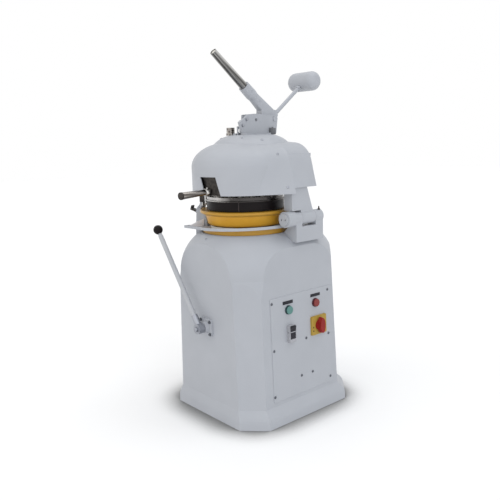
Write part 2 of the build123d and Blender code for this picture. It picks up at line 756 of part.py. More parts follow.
# Crown that carries the lever yoke, turned about the head's middle and fitted to what it sits on
crown_axis = Axis((0, CROWN_Y, 0), (0, 0, 1))
with BuildPart() as head_crown:
    with BuildSketch(facing_front(CROWN_Y)):
        with BuildLine():
            Polyline((92, CROWN_TOP), (0, CROWN_TOP), (0, 1120), (168, 1120), (168, 1158))
            ThreePointArc((168, 1158), (133, 1186.5), (92, CROWN_TOP))
        make_face()
    revolve(axis=crown_axis)
    add(dome_solid, mode=Mode.SUBTRACT)
    with BuildSketch(facing_front(HOOD_REAR_Y)):
        add(hood_outline(0, DOME_FOOT))
    extrude(amount=HOOD_REAR_Y - SEAM_Y, mode=Mode.SUBTRACT)
    add(front_cover.part, mode=Mode.SUBTRACT)
    with BuildSketch(facing_front(CROWN_Y)):
        with BuildLine():
            Polyline((88, CROWN_TOP - 8), (0, CROWN_TOP - 8), (0, 1120), (158, 1120), (158, 1154))
            ThreePointArc((158, 1154), (127, 1179.5), (88, CROWN_TOP - 8))
        make_face()
    revolve(axis=crown_axis, mode=Mode.SUBTRACT)
    with BuildSketch(on_axis(1120)):
        Circle(34)
    extrude(amount=100, mode=Mode.SUBTRACT)

SCREW_R = 6.0
flange_spots = [(-244, 982), (244, 982)]
with BuildPart() as cover_screws:
    with BuildSketch(facing_front(SEAM_Y - FLANGE)):
        with Locations(*flange_spots):
            Circle(SCREW_R)
    extrude(amount=4)

# Yoke on the crown: foot plate and two side plates that hold the press lever
with BuildPart() as lever_yoke:
    with BuildSketch(at_height(CROWN_TOP)):
        with Locations((0, -27)):
            RectangleRounded(92, 150, 10)
        with Locations((0, TABLE_Y)):
            Circle(32, mode=Mode.SUBTRACT)
        with Locations((0, TABLE_Y + 36)):
            Rectangle(24, 72, mode=Mode.SUBTRACT)
    extrude(amount=8)
    plate_rear = [(-31, 1289), (PIVOT_Y + 8, 1284), (PIVOT_Y + 18, 1272), (PIVOT_Y + 8, CROWN_TOP + 6),
                  (40, CROWN_TOP)]
    near_front = [(-100, CROWN_TOP), (-117, 1253), (-73, 1286)]
    far_front = [(-68, CROWN_TOP), (-62, 1286)]
    for x, front in ((YOKE_GAP / 2, near_front), (-YOKE_GAP / 2 - YOKE_PLATE, far_front)):
        with BuildSketch(facing_right(x)):
            Polygon(*front, *plate_rear, align=None)
            with Locations((PIVOT_Y, PIVOT_Z)):
                Circle(PIVOT_R + RUN, mode=Mode.SUBTRACT)
            with Locations((-25, 1263)):
                Circle(7, mode=Mode.SUBTRACT)
        extrude(amount=YOKE_PLATE)
    # inward lip along the near plate's front edge
    with BuildSketch(facing_right(YOKE_GAP / 2 - 8)):
        Polygon((-104.5, 1214), (-117, 1253), (-104, 1262.6), (-101.5, 1259.4), (-112.4, 1251.3),
                (-100.3, 1214), align=None)
    extrude(amount=8)

with BuildPart() as ram_bush:
    with BuildSketch(on_axis(WEB_Z)):
        Circle(32)
    extrude(amount=BOSS_HEIGHT)
    with BuildSketch(on_axis(WEB_Z + BOSS_HEIGHT)):
        Circle(42)
    extrude(amount=4)
    with BuildSketch(on_axis(WEB_Z)):
        Circle(RAM_R + RUN)
    extrude(amount=BOSS_HEIGHT + 4, mode=Mode.SUBTRACT)

with BuildPart() as oil_filler_cap:
    with BuildSketch(Plane((-67.5, -91.5, CROWN_TOP))):
        Circle(20)
    extrude(amount=9)
    with BuildSketch(Plane((-67.5, -91.5, CROWN_TOP + 9))):
        Circle(17.5)
        with PolarLocations(18, 12):
            Circle(2.2, mode=Mode.SUBTRACT)
    extrude(amount=24)
    add(head_crown.part, mode=Mode.SUBTRACT)

# Leg inside the dome's left wall that comes down on the rest post
rest = radial_plane(REST_ANGLE)
with BuildPart() as rest_leg:
    with BuildSketch(rest.offset(-9)):
        Polygon((209, 906), (DOME_R, 906), (DOME_R, 1020), (215, 1020), (209, 1008), align=None)
    extrude(amount=18)
    with BuildSketch(rest.offset(-20)):
        Polygon((214, REST_TOP + 0.5), (236, REST_TOP + 0.5), (236, 886), (224, 898), (220, 908), (209, 908),
                (209, 894), (214, 891), align=None)
    extrude(amount=40)
    with BuildSketch(on_axis(DOME_FOOT)):
        Circle(DOME_R + 20)
        Circle(DOME_R - DOME_WALL, mode=Mode.SUBTRACT)
    extrude(amount=120, mode=Mode.SUBTRACT)

with BuildPart() as latch_post:
    with BuildSketch(rest):
        Polygon((217, 700), (217, REST_TOP), (238, REST_TOP), (241, 850), (250, 700), align=None)
    extrude(amount=23, both=True)
    with BuildSketch(rest):
        Polygon((238, 852), (254, 858), (254, 876), (238, 880), align=None)
    extrude(amount=4.7, both=True)
    with BuildSketch(rest):
        with Locations(CLIP_PIVOT):
            Circle(3)
    extrude(amount=12, both=True)
    add(cabinet_solid, mode=Mode.SUBTRACT)

# Latch clip: forked hook on the post's pin, stored swung out
swing = radians(CLIP_OPEN)


def swung_out(points):
    """Turn a section of the closed clip about its pivot into the open place."""
    return [(CLIP_PIVOT[0] + x * cos(swing) + z * sin(swing), CLIP_PIVOT[1] - x * sin(swing) + z * cos(swing))
            for x, z in points]


clip_hook = [(5, 34), (-16, 34), (-16, 29), (-4, 29)]
with BuildPart() as latch_clip:
    for side in (5, -11):
        with BuildSketch(rest.offset(side)):
            Polygon(*swung_out([(-4, -5), (5, -5), *clip_hook]), align=None)
            with Locations(CLIP_PIVOT):
                Circle(3 + RUN, mode=Mode.SUBTRACT)
        extrude(amount=6)
    with BuildSketch(rest.offset(-11)):
        Polygon(*swung_out([(-4, 18), (5, 18), *clip_hook]), align=None)
    extrude(amount=22)

# Hinge block on the cabinet's shoulder, with two knuckles round the slot for the head's own
with BuildPart() as hinge_block:
    with BuildSketch(facing_front(HINGE_REAR_Y)):
        Polygon((192, 730), (192, 788), (222, 814), (222, HINGE_Z), (270, HINGE_Z), (270, 754), (214, 754),
                (214, 730), align=None)
        with Locations((HINGE_X, HINGE_Z)):
            Circle(KNUCKLE_R)
    extrude(amount=HINGE_REAR_Y + 34)
    with BuildSketch(facing_front(-34)):
        with Locations((HINGE_X, HINGE_Z)):
            Circle(FRONT_BARREL_R)
    extrude(amount=-34 - HINGE_FRONT_Y)
    with BuildSketch(at_height(HINGE_Z - 34)):
        with Locations((HINGE_X, (FOOT_KNUCKLE[0] + FOOT_KNUCKLE[1]) / 2)):
            Rectangle(80, FOOT_KNUCKLE[1] - FOOT_KNUCKLE[0] + 2)
    extrude(amount=80, mode=Mode.SUBTRACT)
    with BuildSketch(facing_front(HINGE_REAR_Y)):
        with Locations((HINGE_X, HINGE_Z)):
            Circle(HINGE_PIN_R)
    extrude(amount=HINGE_REAR_Y - HINGE_FRONT_Y, mode=Mode.SUBTRACT)
    add(cabinet_solid, mode=Mode.SUBTRACT)

with BuildPart() as hinge_pin:
    with BuildSketch(facing_front(HINGE_REAR_Y + 4)):
        with Locations((HINGE_X, HINGE_Z)):
            Circle(HINGE_PIN_R)
    extrude(amount=HINGE_REAR_Y + 4 - HINGE_FRONT_Y)
    with BuildSketch(facing_front(HINGE_FRONT_Y)):
        with Locations((HINGE_X, HINGE_Z)):
            Circle(25)
            with GridLocations(22, 0, 2, 1):
                Circle(4, mode=Mode.SUBTRACT)
    extrude(amount=6)

# Press lever: bell crank casting, steel tube, counterweight on its rod, two pins
lift = radians(LEVER_LIFT)
lever_way = Vector(0, -cos(lift), sin(lift))
lever_up = Vector(0, sin(lift), cos(lift))
rod_way = Vector(0, cos(radians(COUNTER_LIFT)), sin(radians(COUNTER_LIFT)))
pivot = Vector(0, PIVOT_Y, PIVOT_Z)
lever_root = pivot + lever_up * LEVER_RISE
BOSS_HALF = 18.0
with BuildPart() as lever_socket:
    # hub cheek that carries the arm, the rod and the pivot
    with BuildSketch(facing_right(-BOSS_HALF)):
        Polygon((17, 1281), (19, 1322), (46, 1331), (75, 1311), (90, 1307), (101, 1307), (111, 1296),
                (114, 1284), (108, 1272), (100, 1258), (84, 1248), (60, 1252), (30, 1264), align=None)
        with Locations((PIVOT_Y, PIVOT_Z)):
            Circle(25)
    extrude(amount=2 * BOSS_HALF)
    with BuildSketch(Plane(lever_root + lever_way * 20, x_dir=(1, 0, 0), z_dir=lever_way)):
        Rectangle(2 * BOSS_HALF - 2, 50)
    with BuildSketch(Plane(lever_root + lever_way * 140, x_dir=(1, 0, 0), z_dir=lever_way)):
        Circle(22.5)
    loft()
    with BuildSketch(Plane(lever_root + lever_way * 132, z_dir=lever_way)):
        Circle(22.5)
    with BuildSketch(Plane(lever_root + lever_way * 152, z_dir=lever_way)):
        Circle(25.5)
    loft()
    with BuildSketch(Plane(lever_root + lever_way * 152, z_dir=lever_way)):
        Circle(25.5)
    extrude(amount=SOCKET_END - 152, taper=1.5)
    with BuildSketch(Plane(lever_root + lever_way * 70, z_dir=lever_way)):
        Circle(TUBE_R)
    extrude(amount=150, mode=Mode.SUBTRACT)
    with BuildSketch(Plane(pivot + rod_way * 20, z_dir=rod_way)):
        Circle(COUNTER_ROD_R)
    extrude(amount=60, mode=Mode.SUBTRACT)
    with BuildSketch(facing_right(-8)):
        with BuildLine():
            dip = radians(ARM_DIP)
            across = (sin(dip) * 16, -cos(dip) * 16)
            far = (TABLE_Y, PIN_Z)
            Polyline((far[0] + across[0], far[1] + across[1]), (PIVOT_Y + across[0], PIVOT_Z + across[1]),
                     (PIVOT_Y - across[0], PIVOT_Z - across[1]), (far[0] - across[0], far[1] - across[1]))
            ThreePointArc((far[0] - across[0], far[1] - across[1]),
                          (far[0] - 16 * cos(dip), far[1] - 16 * sin(dip)),
                          (far[0] + across[0], far[1] + across[1]))
        make_face()
    extrude(amount=16)
    with BuildSketch(facing_right(-BOSS_HALF)):
        with Locations((PIVOT_Y, PIVOT_Z)):
            Circle(PIVOT_R)
        with Locations((TABLE_Y, PIN_Z)):
            Circle(RAM_PIN_R)
    extrude(amount=2 * BOSS_HALF, mode=Mode.SUBTRACT)

with BuildPart() as lever_tube:
    with BuildSketch(Plane(lever_root, x_dir=lever_up, z_dir=(1, 0, 0))):
        Polygon((TUBE_R, 70), (TUBE_R, SOCKET_END), (TUBE_TIP_R, LEVER_LENGTH),
                (TUBE_TIP_R - TUBE_WALL, LEVER_LENGTH), (TUBE_R - TUBE_WALL, SOCKET_END),
                (TUBE_R - TUBE_WALL, 70), align=None)
    revolve(axis=Axis(lever_root, lever_way))

COUNTER_R = 43.0
COUNTER_LENGTH = 163.0
counter_centre = pivot + rod_way * COUNTER_REACH
with BuildPart() as counterweight_rod:
    with BuildSketch(Plane(pivot + rod_way * 20, z_dir=rod_way)):
        Circle(COUNTER_ROD_R)
    extrude(amount=COUNTER_REACH - COUNTER_R + 14 - 20)

with BuildPart() as counterweight:
    with BuildSketch(facing_right(-COUNTER_LENGTH / 2)):
        with Locations((counter_centre.Y, counter_centre.Z)):
            Circle(COUNTER_R)
    extrude(amount=COUNTER_LENGTH)
    fillet(counterweight.edges().filter_by(GeomType.CIRCLE), 33)
    with BuildSketch(Plane(pivot + rod_way * (COUNTER_REACH - COUNTER_R - 10), z_dir=rod_way)):
        Circle(COUNTER_ROD_R)
    extrude(amount=24, mode=Mode.SUBTRACT)

with BuildPart() as lever_pins:
    with BuildSketch(facing_right(-YOKE_GAP / 2 - YOKE_PLATE - 4)):
        with Locations((PIVOT_Y, PIVOT_Z)):
            Circle(PIVOT_R)
    extrude(amount=YOKE_GAP + 2 * YOKE_PLATE + 8)
    with BuildSketch(facing_right(-17)):
        with Locations((TABLE_Y, PIN_Z)):
            Circle(RAM_PIN_R)
    extrude(amount=34)

# Rounding lever on the front: bracket, shaft with its cam, hub, rod and knob
ROUNDING_SHAFT_R = 10.0
with BuildPart() as lever_bracket:
    with BuildSketch(facing_front(FRONT_Y)):
        with Locations((ROUNDING_X, ROUNDING_Z)):
            RectangleRounded(84, 76, 14)
            with GridLocations(62, 54, 2, 2):
                Circle(4.5, mode=Mode.SUBTRACT)
    extrude(amount=9)
    with BuildSketch(facing_front(FRONT_Y - 9)):
        with Locations((ROUNDING_X, ROUNDING_Z)):
            Circle(26)
    extrude(amount=15, taper=12)
    with BuildSketch(facing_front(FRONT_Y)):
        with Locations((ROUNDING_X, ROUNDING_Z)):
            Circle(ROUNDING_SHAFT_R + RUN)
    extrude(amount=24, mode=Mode.SUBTRACT)

with BuildPart() as rounding_shaft:
    with BuildSketch(facing_front(-228)):
        with Locations((ROUNDING_X, ROUNDING_Z)):
            Circle(ROUNDING_SHAFT_R)
    extrude(amount=372 - 228)
    with BuildSketch(facing_front(-230)):
        with Locations((ROUNDING_X, ROUNDING_Z)):
            Circle(24)
        with Locations((ROUNDING_X, ROUNDING_Z + 20)):
            Circle(12)
    extrude(amount=14)

lean_turn = radians(ROUNDING_LEAN)
rounding_way = Vector(-sin(lean_turn), 0, cos(lean_turn))
rounding_centre = Vector(ROUNDING_X, ROUNDING_Y, ROUNDING_Z)
with BuildPart() as rounding_hub:
    with BuildSketch(facing_front(FRONT_Y - 25)):
        with Locations((ROUNDING_X, ROUNDING_Z)):
            Circle(22)
    extrude(amount=30)
    with BuildSketch(Plane(rounding_centre, z_dir=rounding_way)):
        Circle(14)
    extrude(amount=62)
    with BuildSketch(facing_front(FRONT_Y - 25)):
        with Locations((ROUNDING_X, ROUNDING_Z)):
            Circle(ROUNDING_SHAFT_R)
    extrude(amount=32, mode=Mode.SUBTRACT)
    with BuildSketch(Plane(rounding_centre + rounding_way * 24, z_dir=rounding_way)):
        Circle(9.5)
    extrude(amount=60, mode=Mode.SUBTRACT)

with BuildPart() as rounding_rod:
    with BuildSketch(Plane(rounding_centre + rounding_way * 24, z_dir=rounding_way)):
        Circle(9.5)
    extrude(amount=ROUNDING_LENGTH - 24 - 22)

KNOB_R = 21.0
with BuildPart() as rounding_knob:
    knob_plane = Plane(rounding_centre + rounding_way * (ROUNDING_LENGTH - 22), z_dir=rounding_way)
    with BuildSketch(Plane(knob_plane.origin, x_dir=(0, 1, 0), z_dir=Vector(0, 1, 0).cross(rounding_way))):
        with BuildLine():
            neck = KNOB_R - sqrt(KNOB_R**2 - 10**2)
            Polyline((0, 2 * KNOB_R), (0, 0), (10, 0), (10, neck))
            ThreePointArc((10, neck), (KNOB_R, KNOB_R), (0, 2 * KNOB_R))
        make_face()
    revolve(axis=Axis(knob_plane.origin, rounding_way))

# Control panel over the opening in the right face, with what is mounted on it
PANEL_HALF = (184.0, 221.0)
panel_screw_spots = [(y, up_panel(z)) for y in (-174, 166) for z in (518, 318, 113)]
with BuildPart() as control_panel:
    with BuildSketch(on_panel()):
        with Locations((-4, 0)):
            RectangleRounded(2 * PANEL_HALF[0], 2 * PANEL_HALF[1], 6)
    extrude(amount=3)
    fillet(control_panel.faces().sort_by(Axis((0, 0, 0), on_panel().z_dir))[-1].edges(), 2.4)
    with BuildSketch(on_panel()):
        with Locations((START_Y, up_panel(BUTTON_Z)), (STOP_Y, up_panel(BUTTON_Z))):
            Circle(11)
        with Locations((ROCKER_Y, up_panel(ROCKER_Z))):
            Rectangle(26, 50)
        with Locations((SWITCH_Y, up_panel(SWITCH_Z))):
            Circle(12)
    extrude(amount=3, mode=Mode.SUBTRACT)

with BuildPart() as panel_screws:
    with BuildSketch(on_panel(3)):
        with Locations(*panel_screw_spots):
            Circle(SCREW_R)
    extrude(amount=3)

with BuildPart() as button_bezels:
    for y in (START_Y, STOP_Y):
        with BuildSketch(on_panel(3)):
            with Locations((y, up_panel(BUTTON_Z))):
                Circle(19.5)
        extrude(amount=5, taper=10)
        with BuildSketch(on_panel(-30)):
            with Locations((y, up_panel(BUTTON_Z))):
                Circle(11)
        extrude(amount=33)
        with BuildSketch(on_panel(-20)):
            with Locations((y, up_panel(BUTTON_Z))):
                Circle(9)
        extrude(amount=40, mode=Mode.SUBTRACT)
        with BuildSketch(on_panel(5)):
            with Locations((y, up_panel(BUTTON_Z))):
                Circle(17.4)
        extrude(amount=20, mode=Mode.SUBTRACT)


def push_button(y):
    """Push button: cap in the bezel and stem behind it."""
    with BuildPart() as button:
        with BuildSketch(on_panel(9.5)):
            with Locations((y, up_panel(BUTTON_Z))):
                Circle(17)
        extrude(amount=6)
        fillet(button.edges().filter_by(GeomType.CIRCLE), 1.5)
        with BuildSketch(on_panel(-12)):
            with Locations((y, up_panel(BUTTON_Z))):
                Circle(8.6)
        extrude(amount=22)
    return button.part


with BuildPart() as start_button:
    add(push_button(START_Y))

with BuildPart() as stop_button:
    add(push_button(STOP_Y))

# Housing of the rocker, standing proud of the panel, with a pocket for it
ROCKER_POCKET = (31.4, 58.0)
ROCKER_PIN_R = 2.5
rocker_face = on_panel(13)
rocker_plane = Plane(rocker_face.from_local_coords((ROCKER_Y, up_panel(ROCKER_Z), 0)),
                     x_dir=rocker_face.z_dir, z_dir=(0, 1, 0))
with BuildPart() as rocker_frame:
    with BuildSketch(on_panel(3)):
        with Locations((ROCKER_Y, up_panel(ROCKER_Z - 7))):
            RectangleRounded(37, 73, 3)
    extrude(amount=18)
    with BuildSketch(on_panel(-24)):
        with Locations((ROCKER_Y, up_panel(ROCKER_Z))):
            Rectangle(26, 50)
    extrude(amount=27)
    with BuildSketch(on_panel(5)):
        with Locations((ROCKER_Y, up_panel(ROCKER_Z))):
            Rectangle(*ROCKER_POCKET)
    extrude(amount=30, mode=Mode.SUBTRACT)
    with BuildSketch(rocker_plane):
        Circle(ROCKER_PIN_R + RUN)
    extrude(amount=20, both=True, mode=Mode.SUBTRACT)

# Rocker: two slopes either side of its middle, on a pin, resting with the lower half in
rocker_section = [(-5, -8), (5, -27.3), (9.5, -26.3), (8, 0), (9.5, 26.3), (5, 27.3), (-5, 8)]
with BuildPart() as rocker_switch:
    with BuildSketch(rocker_plane):
        tilt = radians(ROCKER_TILT)
        Polygon(*[(x * cos(tilt) - z * sin(tilt), x * sin(tilt) + z * cos(tilt)) for x, z in rocker_section],
                align=None)
    extrude(amount=15.3, both=True)
    with BuildSketch(rocker_plane):
        Circle(ROCKER_PIN_R)
    extrude(amount=18, both=True)

with BuildPart() as switch_escutcheon:
    with BuildSketch(on_panel(3)):
        with Locations((SWITCH_Y, up_panel(SWITCH_Z))):
            RectangleRounded(94, 84, 6)
    extrude(amount=8, taper=8)
    with BuildSketch(on_panel(-26)):
        with Locations((SWITCH_Y, up_panel(SWITCH_Z))):
            Circle(12)
    extrude(amount=29)
    with BuildSketch(on_panel(-10)):
        with Locations((SWITCH_Y, up_panel(SWITCH_Z))):
            Circle(6 + RUN)
    extrude(amount=40, mode=Mode.SUBTRACT)

with BuildPart() as main_switch_knob:
    with BuildSketch(on_panel(11.4)):
        with Locations((SWITCH_Y, up_panel(SWITCH_Z))):
            Circle(24)
    extrude(amount=8, taper=6)
    with BuildSketch(on_panel(17)):
        with Locations((SWITCH_Y, up_panel(SWITCH_Z))):
            Ellipse(17.5, 35.5)
    extrude(amount=18, taper=8)
    with BuildSketch(on_panel(-8)):
        with Locations((SWITCH_Y, up_panel(SWITCH_Z))):
            Circle(6)
    extrude(amount=22)

pieces = {
    "plinth": plinth, "cabinet_shell": cabinet_shell, "deck_ring": deck_ring, "flour_pan": flour_pan,
    "bearing_housing": bearing_housing, "main_bearings": main_bearings, "motor_housing": motor_housing,
    "motor_mount": motor_mount, "drive_belt": drive_belt, "control_box": control_box,
    "cable_gland": cable_gland, "control_panel": control_panel, "panel_screws": panel_screws,
    "button_bezels": button_bezels,
    "rocker_frame": rocker_frame, "switch_escutcheon": switch_escutcheon, "hinge_block": hinge_block,
    "hinge_pin": hinge_pin, "latch_post": latch_post, "lever_bracket": lever_bracket,
    "head_casting": head_casting, "front_cover": front_cover, "head_crown": head_crown,
    "cover_screws": cover_screws, "lever_yoke": lever_yoke, "ram_bush": ram_bush,
    "oil_filler_cap": oil_filler_cap, "rest_leg": rest_leg,
    "lever_socket": lever_socket, "lever_tube": lever_tube, "counterweight_rod": counterweight_rod,
    "counterweight": counterweight, "lever_pins": lever_pins,
    "ram_shaft": ram_shaft, "press_plate": press_plate, "press_blocks": press_blocks,
    "chamber_ring": chamber_ring, "chamber_lip": chamber_lip, "knife_grid": knife_grid,
    "knife_carrier": knife_carrier, "cutting_handle": cutting_handle,
    "main_shaft": main_shaft, "driven_pulley": driven_pulley,
    "table_carrier": table_carrier, "table_bowl": table_bowl, "dough_plate": dough_plate,
    "idler_crank_left": idler_crank_left, "idler_crank_right": idler_crank_right,
    "motor_shaft": motor_shaft, "motor_pulley": motor_pulley,
    "rounding_rod": rounding_rod, "rounding_knob": rounding_knob, "rounding_hub": rounding_hub,
    "rounding_shaft": rounding_shaft, "latch_clip": latch_clip,
    "start_button": start_button, "stop_button": stop_button, "rocker_switch": rocker_switch,
    "main_switch_knob": main_switch_knob,
}
os.makedirs("parts", exist_ok=True)
for name, piece in pieces.items():
    piece.part.label = name
    export_step(piece.part, f"parts/{name}.step")
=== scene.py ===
from math import acos, atan, atan2, cos, pi, radians, sin, sqrt, tau

import bmesh
import bpy
from mathutils import Matrix, Vector


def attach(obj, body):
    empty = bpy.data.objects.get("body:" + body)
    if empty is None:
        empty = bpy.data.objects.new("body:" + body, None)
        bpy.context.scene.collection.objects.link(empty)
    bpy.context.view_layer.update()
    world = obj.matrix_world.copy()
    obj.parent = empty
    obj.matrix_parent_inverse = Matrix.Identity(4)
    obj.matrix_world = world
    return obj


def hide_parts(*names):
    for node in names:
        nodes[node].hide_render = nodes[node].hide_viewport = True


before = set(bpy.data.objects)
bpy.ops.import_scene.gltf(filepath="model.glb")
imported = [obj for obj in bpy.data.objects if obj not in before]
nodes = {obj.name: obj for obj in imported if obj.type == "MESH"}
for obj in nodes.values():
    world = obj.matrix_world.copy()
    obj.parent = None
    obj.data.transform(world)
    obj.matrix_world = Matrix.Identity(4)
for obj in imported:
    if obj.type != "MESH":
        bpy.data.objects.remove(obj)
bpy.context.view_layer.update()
scene = bpy.context.scene
MM = 0.001
UP = Vector((0, 0, 1))
TABLE_Y = -76  # the table's axis stands at X 0 and this Y, in mm
LEVER_LIFT = radians(39.3)
SHARP_ANGLE = radians(32)


# Finishes

def linear(code):
    """Turn an sRGB hex colour into the linear values that shaders take."""
    parts = [int(code[i:i + 2], 16) / 255 for i in (1, 3, 5)]
    return [*(c / 12.92 if c <= 0.04045 else ((c + 0.055) / 1.055) ** 2.4 for c in parts), 1.0]


def add_node(tree, kind, inputs=None, stops=None, feeds=None, **settings):
    """Add one shader node with its settings, values or links and ramp stops, and feed its output on."""
    node = tree.nodes.new("ShaderNode" + kind)
    for name, value in settings.items():
        setattr(node, name, value)
    if stops:
        ramp = node.color_ramp.elements
        while len(ramp) < len(stops):
            ramp.new(0.5)
        for element, (place, colour) in zip(ramp, stops):
            element.position = place
            element.color = linear(colour) if isinstance(colour, str) else (colour, colour, colour, 1)
    for name, value in (inputs or {}).items():
        if isinstance(value, bpy.types.NodeSocket):
            tree.links.new(value, node.inputs[name])
        else:
            node.inputs[name].default_value = value
    if feeds:
        tree.links.new(node.outputs[0], feeds)
    return node.outputs


def start_finish(name, **sockets):
    """Begin a finish: its material, its tree, the inputs of its shader, and the piece's own coordinates."""
    finish = bpy.data.materials.new(name)
    finish.use_nodes = True
    tree = finish.node_tree
    tree.nodes.clear()
    shader = tree.nodes.new("ShaderNodeBsdfPrincipled")
    for socket, value in sockets.items():
        shader.inputs[socket].default_value = value
    add_node(tree, "OutputMaterial", {"Surface": shader.outputs["BSDF"]})
    place = add_node(tree, "TexCoord")["Object"]
    return finish, tree, shader.inputs, place


def powder_coat(name, low, high, rough=(0.42, 0.52)):
    """Satin powder coat on iron and sheet: an even skin with faint orange peel and a slow drift in tone."""
    finish, tree, skin, place = start_finish(name, IOR=1.5, **{"Specular IOR Level": 0.4})
    drift = add_node(tree, "TexNoise", {"Vector": place, "Scale": 1 / (160 * MM), "Detail": 3.0})[0]
    add_node(tree, "ValToRGB", {"Fac": drift}, [(0.3, low), (0.7, high)], skin["Base Color"])
    gloss = add_node(tree, "TexNoise", {"Vector": place, "Scale": 1 / (35 * MM), "Detail": 4.0})[0]
    add_node(tree, "ValToRGB", {"Fac": gloss}, [(0.3, rough[0]), (0.7, rough[1])], skin["Roughness"])
    # the peel of a real coat is about 2 mm across, drawn at 5 mm so that it shows
    peel = add_node(tree, "TexNoise", {"Vector": place, "Scale": 1 / (5 * MM), "Detail": 1.0})[0]
    add_node(tree, "Bump", {"Height": peel, "Strength": 0.10, "Distance": 0.0006}, feeds=skin["Normal"])
    return finish


def metal(name, low, high, rough, grain_mm, drawn=(1, 1, 1), turn=(0, 0, 0), depth=0.0002):
    """Bare metal with tool marks along the work: tone, roughness and relief all follow the marks."""
    finish, tree, skin, place = start_finish(name, Metallic=1.0)
    # real tool marks are under a millimetre wide, so the grain is coarser than life to show from a step away
    along = add_node(tree, "Mapping", {"Vector": place, "Rotation": turn, "Scale": drawn},
                     vector_type="TEXTURE")[0]
    marks = add_node(tree, "TexNoise", {"Vector": along, "Scale": 1 / (grain_mm * MM), "Detail": 3.0})[0]
    add_node(tree, "ValToRGB", {"Fac": marks}, [(0.36, low), (0.64, high)], skin["Base Color"])
    add_node(tree, "ValToRGB", {"Fac": marks}, [(0.36, rough[0]), (0.64, rough[1])], skin["Roughness"])
    add_node(tree, "Bump", {"Height": marks, "Strength": 0.15, "Distance": depth}, feeds=skin["Normal"])
    return finish


def moulding(name, low, high, rough, grain_mm=1.5, drift_mm=40, shine=0.25):
    """Moulded plastic: a slow drift in tone and a fine moulded grain that breaks up the shine."""
    finish, tree, skin, place = start_finish(name, IOR=1.49, **{"Specular IOR Level": shine})
    drift = add_node(tree, "TexNoise", {"Vector": place, "Scale": 1 / (drift_mm * MM), "Detail": 3.0})[0]
    add_node(tree, "ValToRGB", {"Fac": drift}, [(0.3, low), (0.7, high)], skin["Base Color"])
    add_node(tree, "ValToRGB", {"Fac": drift}, [(0.3, rough[0]), (0.7, rough[1])], skin["Roughness"])
    # a real moulded grain is about half a millimetre across, drawn coarser so that it shows
    grain = add_node(tree, "TexNoise", {"Vector": place, "Scale": 1 / (grain_mm * MM), "Detail": 1.0})[0]
    add_node(tree, "Bump", {"Height": grain, "Strength": 0.12, "Distance": 0.0003}, feeds=skin["Normal"])
    return finish


# Pale grey powder coat: even and satin, so big faces read smooth and edges stay soft
paint = powder_coat("pale_grey_powder_coat", "#A8ABB1", "#ACAFB5")
# Chromed lever tube: nearly a mirror, with strong dark and light streaks along the tube that are partly
# polishing marks and partly painted reflection
lever_chrome = metal("chrome_tube_painted_reflection_streaks", "#525150", "#BFBEBC", (0.14, 0.26), 9, (1, 40, 1),
                     (-LEVER_LIFT, 0, 0))
# Turned handle: browner chrome, streaked along the handle
handle_chrome = metal("browned_chrome", "#4F4A47", "#A8A39E", (0.16, 0.28), 7, (1, 20, 1))
# Chromed collar of the handle: bright, with dull patches where it is wiped
collar_chrome = metal("wiped_chrome", "#7A7876", "#DEDCD9", (0.16, 0.32), 12)
# Lacquer on the rounding rod: paler and smoother than the cabinet's coat
rod_lacquer = powder_coat("pale_rod_lacquer", "#A9ABAF", "#B1B3B7", (0.34, 0.44))
# Ground steel of shafts and plates: soft streaky shine
ground_steel = metal("ground_steel", "#9C9C9C", "#BDBCBA", (0.26, 0.38), 4, (1, 1, 10))
# Zinc plated screws and rounding hub: dull blue-grey with a fine crystal grain
zinc = metal("zinc_plate", "#9698A0", "#A4A7AD", (0.42, 0.55), 1.5)
# Older zinc on the panel: darker, with the same grain
dark_zinc = metal("darkened_zinc", "#5F6167", "#71747A", (0.42, 0.55), 1.5)
# Blackened steel: dull dark skin with browner patches
black_steel = metal("blackened_steel", "#343231", "#4A4643", (0.42, 0.55), 12)
# Yellow table plastic: warm and waxy, with a clear shine
table_yellow = moulding("table_yellow_plastic", "#B4872D", "#BA8D32", (0.30, 0.38), 3, 70, 0.35)
# Bowl: the same plastic, painted brighter below the plate's lip to lift the shade there
shade_lifted_yellow = moulding("bowl_yellow_lifting_shade", "#D8A02F", "#DEA836", (0.30, 0.38), 3, 70, 0.35)
# Switch plate: cooler yellow, low shine
switch_yellow = moulding("switch_plate_yellow", "#A5883A", "#AC8F40", (0.42, 0.50))
# Chamber ring and ball knob: deep smooth black with a faint sheen
ring_black = moulding("smooth_black_coat", "#130E0F", "#1A1516", (0.34, 0.44), 4, 30, 0.12)
# Strap over the ring's joint: the same black, lighter and greyer
strap_black = moulding("greyed_black_strap", "#3E3838", "#4A4343", (0.5, 0.6), 3, 20, 0.15)
# Switch parts and bare plates: satin black, a little bluer and paler than the ring
satin_black = moulding("satin_black_moulding", "#24242A", "#2C2C32", (0.45, 0.55), shine=0.2)
# Boxes: dull mid grey moulding that stays in the background
dull_grey = moulding("dull_grey_moulding", "#66676A", "#6F7073", (0.45, 0.55))
# Switch housing: pale grey moulding, close to the paint but flatter
pale_moulding = moulding("pale_grey_moulding", "#A2A3A8", "#A9AAAF", (0.42, 0.52))
# White moulding of the pan's guard: painted brighter than the paint to lift the bowl's shade on it
shade_lifting_white = moulding("white_guard_lifting_shade", "#E4E4E8", "#ECECF0", (0.42, 0.52))
# Food grade white of the press blocks, the seal and the lever's end plug: warm and matt
natural_white = moulding("natural_white_plastic", "#D6D3CA", "#DEDBD3", (0.45, 0.55))
# Red of the main switch: deep, half glossy
signal_red = moulding("signal_red_moulding", "#861F1C", "#8F2421", (0.34, 0.44), shine=0.2)
# Push buttons: softer red and blue-green, half glossy
button_red = moulding("button_red_moulding", "#7C3433", "#833A39", (0.36, 0.46))
button_green = moulding("button_green_moulding", "#56807B", "#5D8782", (0.36, 0.46))
# Belt: cloth faced rubber, matt and nearly black
belt_rubber = moulding("cloth_faced_rubber", "#262626", "#303030", (0.75, 0.85), 2.5, 15)
